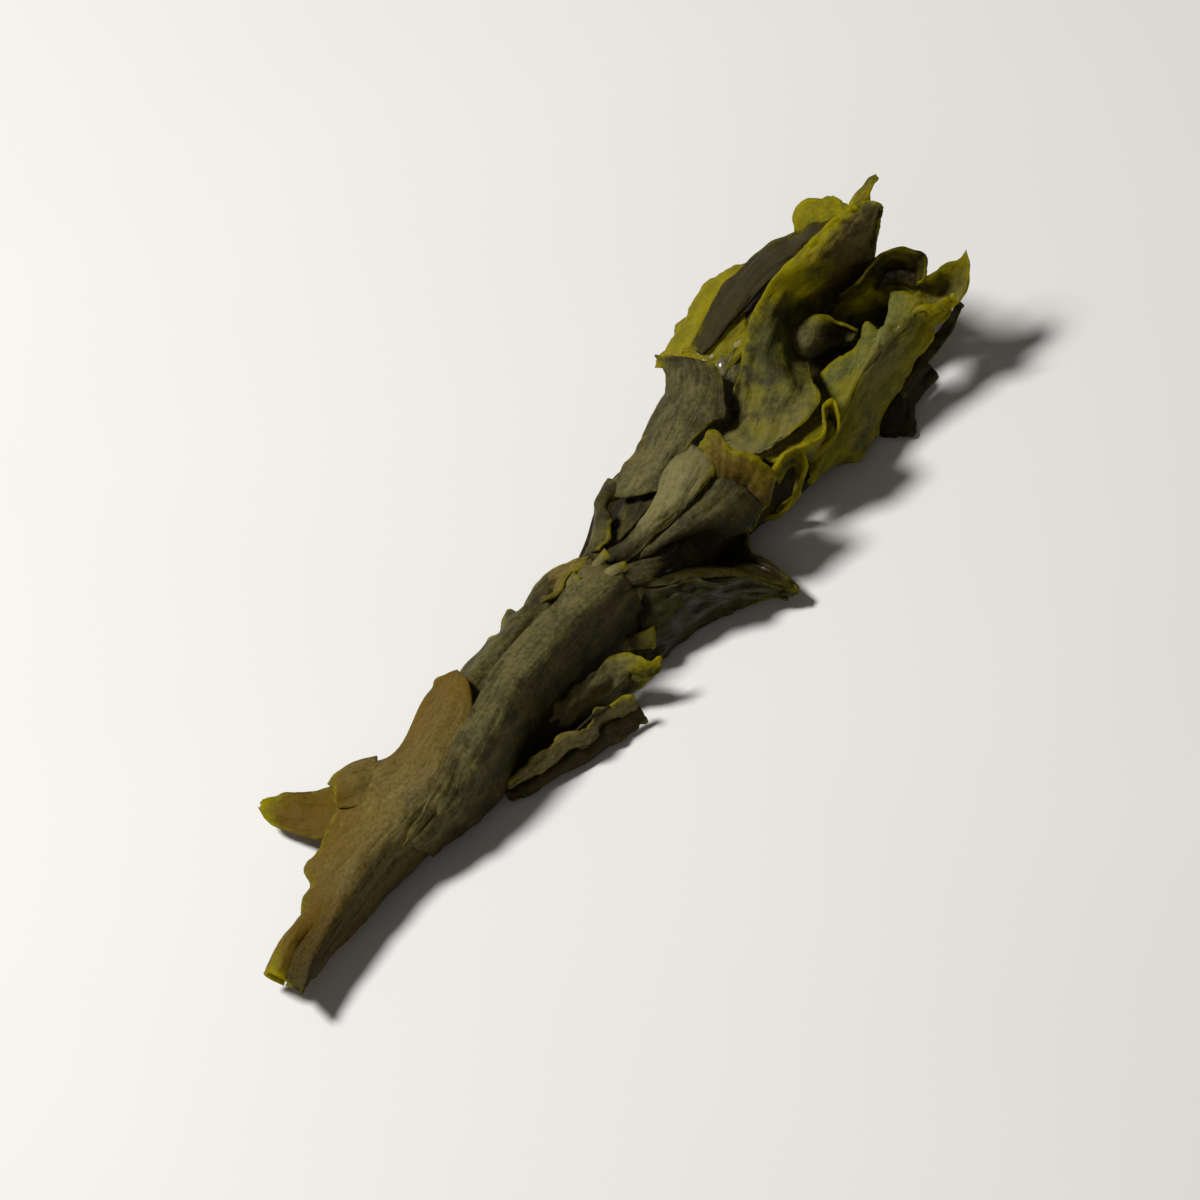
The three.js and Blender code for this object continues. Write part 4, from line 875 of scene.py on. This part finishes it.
def add_blade(bm, layers, name, shape, sizes):
    """One roll or flap as a fine grid in the bmesh, with its UV map and looks."""
    number = ORDER.index(name) + 1
    seed = number * SEED_STEP
    length, half_row = spans(shape)
    rows = max(int(length / sizes.cell), FEWEST_CELLS)
    columns = max(int(2 * half_row.mean() / sizes.cell), FEWEST_CELLS)
    made = bmesh.ops.create_grid(bm, x_segments=rows, y_segments=columns, size=1.0)
    verts = made["verts"]
    flat = np.array([v.co[:2] for v in verts])
    u0, v0 = (flat[:, 0] + 1) / 2, flat[:, 1]
    half = along(half_row, u0)
    u, v = nibbled(shape, seed, u0, v0, sizes, length, half)
    s, t = u * length, v * half
    away = edge_distance(shape, u0, v0, length, half)

    def surface(a, b):
        return form(shape, number, a, b)

    normals = outward(surface, u, v)
    lift = relief(shape, seed, s, t, away, sizes)
    tight = "centre" in shape and not shape.get("hollow")
    if tight:
        lift = lift * np.clip((1 - np.abs(v0)) * 8, 0, 1)
    points = surface(u, v) + normals * lift[:, None]
    points = rested(points, sizes.thickness / 2 if tight else RESTING_HEIGHT)
    points = (points + np.array(ORIGIN_SHIFT)) * MM
    looks = {key: look(shape.get(key, [0.0]), u, v) for key in LOOKS}
    # Nearness to a free edge, where thin blade gets a painted glow and less bloom.
    looks["rim"] = np.exp(-away / RIM_WIDTH)
    for i, vert in enumerate(verts):
        vert.co = points[i]
        for key, values in looks.items():
            vert[layers[key]] = float(values[i])
    place = {
        vert: (s[i] * UV_SCALE + number, t[i] * UV_SCALE) for i, vert in enumerate(verts)
    }
    for face in {f for vert in verts for f in vert.link_faces}:
        face.smooth = True
        for loop in face.loops:
            loop[layers["uv"]].uv = place[loop.vert]


def build_group(name, parts, sizes):
    """A group of rolls and flaps as one object of thin blades."""
    bm = bmesh.new()
    layers = {key: bm.verts.layers.float.new(key) for key in (*LOOKS, "rim")}
    layers["uv"] = bm.loops.layers.uv.new("UVMap")
    for part, shape in parts.items():
        add_blade(bm, layers, part, shape, sizes)
    mesh = bpy.data.meshes.new(name)
    bm.to_mesh(mesh)
    bm.free()
    obj = bpy.data.objects.new(name, mesh)
    bpy.context.scene.collection.objects.link(obj)
    skin = obj.modifiers.new("thickness", "SOLIDIFY")
    skin.thickness = sizes.thickness * MM
    skin.offset = 0.0
    mesh.materials.append(blade_material())
    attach(obj, BODY)
    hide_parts(NODE)


# ---- materials ----
class Signal:
    """A node's output with arithmetic: each sum adds a Math node."""

    def __init__(self, tree, socket):
        self.tree = tree
        self.socket = socket

    def _math(self, operation, *values):
        return wire(self.tree, "ShaderNodeMath", {"operation": operation}, *values)

    def __add__(self, other):
        return self._math("ADD", self, other)

    __radd__ = __add__

    def __mul__(self, other):
        return self._math("MULTIPLY", self, other)

    def __sub__(self, other):
        return self._math("SUBTRACT", self, other)

    def __rsub__(self, other):
        return self._math("SUBTRACT", other, self)

    def clipped(self):
        return self._math("MINIMUM", self._math("MAXIMUM", self, 0.0), 1.0)


def wire(tree, kind, settings=None, *values, out=0, **named):
    """A node of one kind, with its settings made first and its sockets filled or linked."""
    node = tree.nodes.new(kind)
    for key, value in (settings or {}).items():
        setattr(node, key, value)
    filled = list(enumerate(values)) + [(key.replace("_", " "), value) for key, value in named.items()]
    for key, value in filled:
        socket = node.inputs[key]
        if isinstance(value, Signal):
            tree.links.new(value.socket, socket)
        else:
            socket.default_value = value
    return Signal(tree, node.outputs[out])


def blend_colors(tree, share, first, second):
    """A mix of two colours; either may be a signal."""
    node = tree.nodes.new("ShaderNodeMix")
    node.data_type = "RGBA"
    for index, value in ((0, share), (6, first), (7, second)):
        if isinstance(value, Signal):
            tree.links.new(value.socket, node.inputs[index])
        else:
            node.inputs[index].default_value = value
    return Signal(tree, node.outputs[2])


def speckle(tree, place, scale, detail=4.0, roughness=0.55, distortion=0.0):
    return wire(tree, "ShaderNodeTexNoise", {"noise_dimensions": "3D"}, Vector=place, Scale=scale,
                Detail=detail, Roughness=roughness, Distortion=distortion)


def ramped(tree, signal, low, high):
    """Eases from 0 to 1 as the signal goes from low to high."""
    smooth = {"interpolation_type": "SMOOTHSTEP"}
    return wire(tree, "ShaderNodeMapRange", smooth, signal, low, high, 0.0, 1.0)


def attribute(tree, name):
    return wire(tree, "ShaderNodeAttribute", {"attribute_name": name}, out=2)


def color4(rgb):
    return (*rgb, 1.0)


def blade_noises(tree):
    """Unevenness of the finish: broad patches, mottling, fine grain, strands and specks."""
    place = wire(tree, "ShaderNodeTexCoord", {}, out=3)
    own_map = wire(tree, "ShaderNodeTexCoord", {}, out=2)
    lengthwise = wire(tree, "ShaderNodeMapping", {}, own_map, Scale=STRAND_STRETCH)
    broad = speckle(tree, place, BROAD_SCALE, 3.0)
    mottle = speckle(tree, place, MOTTLE_SCALE, 5.0, 0.6)
    fine = speckle(tree, place, FINE_SCALE, 4.0, 0.65)
    strands = speckle(tree, lengthwise, 1.0, 4.0, 0.6, 0.4)
    specks = speckle(tree, place, SPECK_SCALE, 1.0)
    return broad, mottle, fine, strands, specks


def blade_material():
    """The dried blade: olive; grey where dry, partly painted sheen; yellow-green where thin, partly
    painted glow; painted shade in hollows and creases; brown at the tip.
    """
    found = bpy.data.materials.get("dried_blade")
    if found:
        return found
    looks = bpy.context.scene.wakame_looks
    material = bpy.data.materials.new("dried_blade")
    material.use_nodes = True
    tree = material.node_tree
    tree.nodes.clear()
    broad, mottle, fine, strands, specks = blade_noises(tree)
    names = (*LOOKS, "rim")
    dust, brown, lime, green, wet, dark, rim = (attribute(tree, name) for name in names)
    patchy = (broad - 0.5) * 0.7 + (mottle - 0.5) * 0.45

    # how thin, dry and moist the blade is, and where sheen, glow and shade are painted
    # thin blade, with a painted glow that is brightest near free edges
    thin = ramped(tree, lime + rim * (mottle - 0.1) + patchy * 1.3, 0.25, 0.9)
    grainy = (mottle - 0.5) * 0.4 + (strands - 0.5) * 0.5 + (fine - 0.5) * 0.6
    # grey bloom, and a painted sheen where the blade is lit
    dust_and_sheen_share = ramped(tree, dust + grainy, 0.15, 1.05)
    moist = ramped(tree, wet + patchy * 1.6, 0.3, 0.75)
    # painted shade in the fine wrinkles and crinkles
    painted_crease_shade = ramped(tree, strands, 0.5, 0.28) * 0.2 + ramped(tree, fine, 0.55, 0.3) * 0.35
    # painted shade in pockets, hollows and valleys, plus the darkening of wet blade
    shade_and_wet_darkening = ramped(tree, dark + patchy * 0.5, 0.0, 1.0) * 0.85 + moist * 0.3
    blotched = ramped(tree, mottle + (strands - 0.5) * 0.5, 0.58, 0.36) * 0.6
    salted = ramped(tree, specks, 0.76, 0.82) * dust_and_sheen_share

    # one tint over another
    olive = ramped(tree, mottle, 0.35, 0.65)
    color = blend_colors(tree, olive, color4(looks.deep), color4(looks.olive))
    coats = (
        (ramped(tree, green + patchy, 0.2, 0.9), color4(looks.moss)),
        (ramped(tree, brown + patchy, 0.25, 0.85), color4(looks.brown)),
        # painted glow: thin blade brightened toward the yellow-green
        (thin, blend_colors(tree, blotched, color4(looks.lime), color4(looks.moss))),
        # grey bloom and painted sheen, less near free edges
        (dust_and_sheen_share * (1 - rim * 0.8) * 0.85, color4(looks.dust)),
        # painted shade toward the deepest olive, in creases, pockets and hollows
        ((painted_crease_shade + shade_and_wet_darkening).clipped(), color4(looks.deep)),
        (salted * 0.6, color4(looks.salt)),
    )
    for share, coat in coats:
        color = blend_colors(tree, share, color, coat)

    roughness = (0.66 + (fine - 0.5) * 0.3 - moist * 0.42 - thin * 0.1).clipped()
    height = strands * 0.6 + mottle + broad * 0.9 + fine * (0.35 + moist * 0.35)
    bump = wire(tree, "ShaderNodeBump", {}, Strength=0.6, Distance=0.0007, Height=height)
    shader = wire(tree, "ShaderNodeBsdfPrincipled", {}, Base_Color=color, Roughness=roughness,
                  Normal=bump, Coat_Weight=moist * 0.45, Coat_Roughness=0.14,
                  Specular_IOR_Level=0.15)
    lit_through = blend_colors(tree, thin, color, color4(looks.glow))
    glow = wire(tree, "ShaderNodeBsdfTranslucent", {}, Color=lit_through, Normal=bump)
    through = (0.04 + thin * 0.5).clipped()
    mixed = wire(tree, "ShaderNodeMixShader", {}, through, shader, glow)
    tree.links.new(mixed.socket, tree.nodes.new("ShaderNodeOutputMaterial").inputs[0])
    return material


def floor_material(color):
    """A pale matt floor with faint cloudiness."""
    material = bpy.data.materials.new("pale_floor")
    material.use_nodes = True
    tree = material.node_tree
    tree.nodes.clear()
    place = wire(tree, "ShaderNodeTexCoord", {}, out=3)
    cloudy = ramped(tree, speckle(tree, place, FLOOR_SCALE, 2.0), 0.3, 0.7)
    dimmer = color4([channel * FLOOR_DIMMER for channel in color])
    tone = blend_colors(tree, cloudy, dimmer, color4(color))
    shader = wire(tree, "ShaderNodeBsdfPrincipled", {}, Base_Color=tone, Roughness=0.7)
    tree.links.new(shader.socket, tree.nodes.new("ShaderNodeOutputMaterial").inputs[0])
    return material


# ---- settings ----
def millimetres(name, description, default, least=0.0):
    return FloatProperty(name=name, description=description, default=default, min=least)


def tint(name, description, default):
    return FloatVectorProperty(
        name=name, description=description, default=default, subtype="COLOR", size=3, min=0, max=1)


class WakameSizes(bpy.types.PropertyGroup):
    thickness: millimetres("Blade thickness", "Thickness of one blade, mm", 0.5, 0.1)
    cell: millimetres("Mesh cell", "Size of a mesh cell, mm", 0.55, 0.2)
    tear: millimetres("Tear depth", "Depth of the fine tears at free edges, mm", 0.9)
    grain: millimetres("Lengthwise wrinkles", "Height of wrinkles along a blade, mm", 0.2)
    crinkle: millimetres("Crinkle", "Height of the crumpling, mm", 0.4)
    ruffle: millimetres("Edge ruffle", "Height of the ruffles at free edges, mm", 0.7)


class WakameLooks(bpy.types.PropertyGroup):
    # Painted shade also darkens the blade toward this colour.
    deep: tint("Deep olive", "Darkest blade colour", (0.020, 0.016, 0.003))
    olive: tint("Olive", "Ordinary blade colour", (0.052, 0.042, 0.006))
    brown: tint("Brown", "Brown of the old tip", (0.115, 0.066, 0.0015))
    moss: tint("Moss", "Mossy green of moist blades", (0.085, 0.104, 0.016))
    # Its brightness is partly a painted glow of light coming through thin blade.
    lime: tint("Lime", "Thin yellow-green blade", (0.34, 0.29, 0.001))
    glow: tint("Glow", "Light that comes through a thin blade", (0.80, 0.73, 0.01))
    # Bloom colour, also laid on as a painted sheen where the blade is lit.
    dust: tint("Bloom", "Dry grey bloom", (0.190, 0.165, 0.062))
    salt: tint("Salt", "Tiny pale specks of salt", (0.45, 0.43, 0.34))
    floor: tint("Floor", "Pale floor", (0.80, 0.80, 0.79))


# ---- operators ----
class OBJECT_OT_wakame_lower(bpy.types.Operator):
    """Build the long roll with its tip, side tab and pleats"""

    bl_idname = "object.wakame_lower"
    bl_label = "Lower Blades"

    def execute(self, context):
        build_group("lower_blades", LOWER_PARTS, context.scene.wakame_sizes)
        return {"FINISHED"}


class OBJECT_OT_wakame_middle(bpy.types.Operator):
    """Build the neck, shoulder, collar and middle flap"""

    bl_idname = "object.wakame_middle"
    bl_label = "Middle Blades"

    def execute(self, context):
        build_group("middle_blades", MIDDLE_PARTS, context.scene.wakame_sizes)
        return {"FINISHED"}


class OBJECT_OT_wakame_wide_end(bpy.types.Operator):
    """Build the crest, hollow and torn flaps of the wide end"""

    bl_idname = "object.wakame_wide_end"
    bl_label = "Wide End Blades"

    def execute(self, context):
        build_group("wide_end_blades", WIDE_END_PARTS, context.scene.wakame_sizes)
        return {"FINISHED"}


def soft_light(name, place, size, power, color):
    data = bpy.data.lights.new(name, "AREA")
    data.shape = "DISK"
    data.size = size
    data.energy = power
    data.color = color
    obj = bpy.data.objects.new(name, data)
    bpy.context.scene.collection.objects.link(obj)
    facing = (Vector(LIGHTS_AIM) - Vector(place)).to_track_quat("-Z", "Y").to_matrix().to_4x4()
    obj.matrix_world = Matrix.Translation(place) @ facing


def add_floor(color):
    bm = bmesh.new()
    bmesh.ops.create_grid(bm, x_segments=2, y_segments=2, size=FLOOR_HALF_SIZE)
    mesh = bpy.data.meshes.new("pale_floor")
    bm.to_mesh(mesh)
    bm.free()
    floor = bpy.data.objects.new("pale_floor", mesh)
    bpy.context.scene.collection.objects.link(floor)
    mesh.materials.append(floor_material(color))


def light_room():
    """Faint warm light from all round."""
    world = bpy.data.worlds.new("soft_room")
    bpy.context.scene.world = world
    world.use_nodes = True
    background = world.node_tree.nodes["Background"]
    background.inputs[0].default_value = ROOM_COLOR
    background.inputs[1].default_value = ROOM_STRENGTH


def add_camera():
    """The camera where the photo was taken from, turned as it was."""
    data = bpy.data.cameras.new("photo_camera")
    data.sensor_width = CAMERA_SENSOR
    data.lens = CAMERA_LENS
    data.clip_end = CAMERA_CLIP_END
    camera = bpy.data.objects.new("photo_camera", data)
    scene = bpy.context.scene
    scene.collection.objects.link(camera)
    place = Vector(CAMERA_PLACE) + Vector(ORIGIN_SHIFT) * MM
    forward = (Vector(CAMERA_AIM) - Vector(CAMERA_PLACE)).normalized()
    right = Vector(CAMERA_RIGHT)
    right = (right - right.dot(forward) * forward).normalized()
    up = right.cross(forward)
    turn = Matrix((right, up, -forward)).transposed().to_4x4()
    camera.matrix_world = Matrix.Translation(place) @ turn
    scene.camera = camera
    scene.view_settings.view_transform = "Standard"


class OBJECT_OT_wakame_stage(bpy.types.Operator):
    """Build the floor, lights and camera"""

    bl_idname = "object.wakame_stage"
    bl_label = "Stage"

    def execute(self, context):
        add_floor(context.scene.wakame_looks.floor)
        light_room()
        soft_light("key_light", **KEY_LIGHT)
        soft_light("fill_light", **FILL_LIGHT)
        add_camera()
        return {"FINISHED"}


class VIEW3D_PT_wakame(bpy.types.Panel):
    """Lists the frond's operators"""

    bl_label = "Wakame Frond"
    bl_space_type = "VIEW_3D"
    bl_region_type = "UI"
    bl_category = "Wakame"

    def draw(self, context):
        for operator in OPERATORS:
            self.layout.operator(operator.bl_idname)


OPERATORS = (
    OBJECT_OT_wakame_stage,
    OBJECT_OT_wakame_lower,
    OBJECT_OT_wakame_middle,
    OBJECT_OT_wakame_wide_end,
)
CLASSES = (WakameSizes, WakameLooks, *OPERATORS, VIEW3D_PT_wakame)


def register():
    for cls in CLASSES:
        bpy.utils.register_class(cls)
    bpy.types.Scene.wakame_sizes = PointerProperty(type=WakameSizes)
    bpy.types.Scene.wakame_looks = PointerProperty(type=WakameLooks)


def unregister():
    del bpy.types.Scene.wakame_looks
    del bpy.types.Scene.wakame_sizes
    for cls in reversed(CLASSES):
        bpy.utils.unregister_class(cls)


def main():
    register()
    bpy.ops.object.wakame_stage()
    bpy.ops.object.wakame_lower()
    bpy.ops.object.wakame_middle()
    bpy.ops.object.wakame_wide_end()


if __name__ == "__main__":
    main()
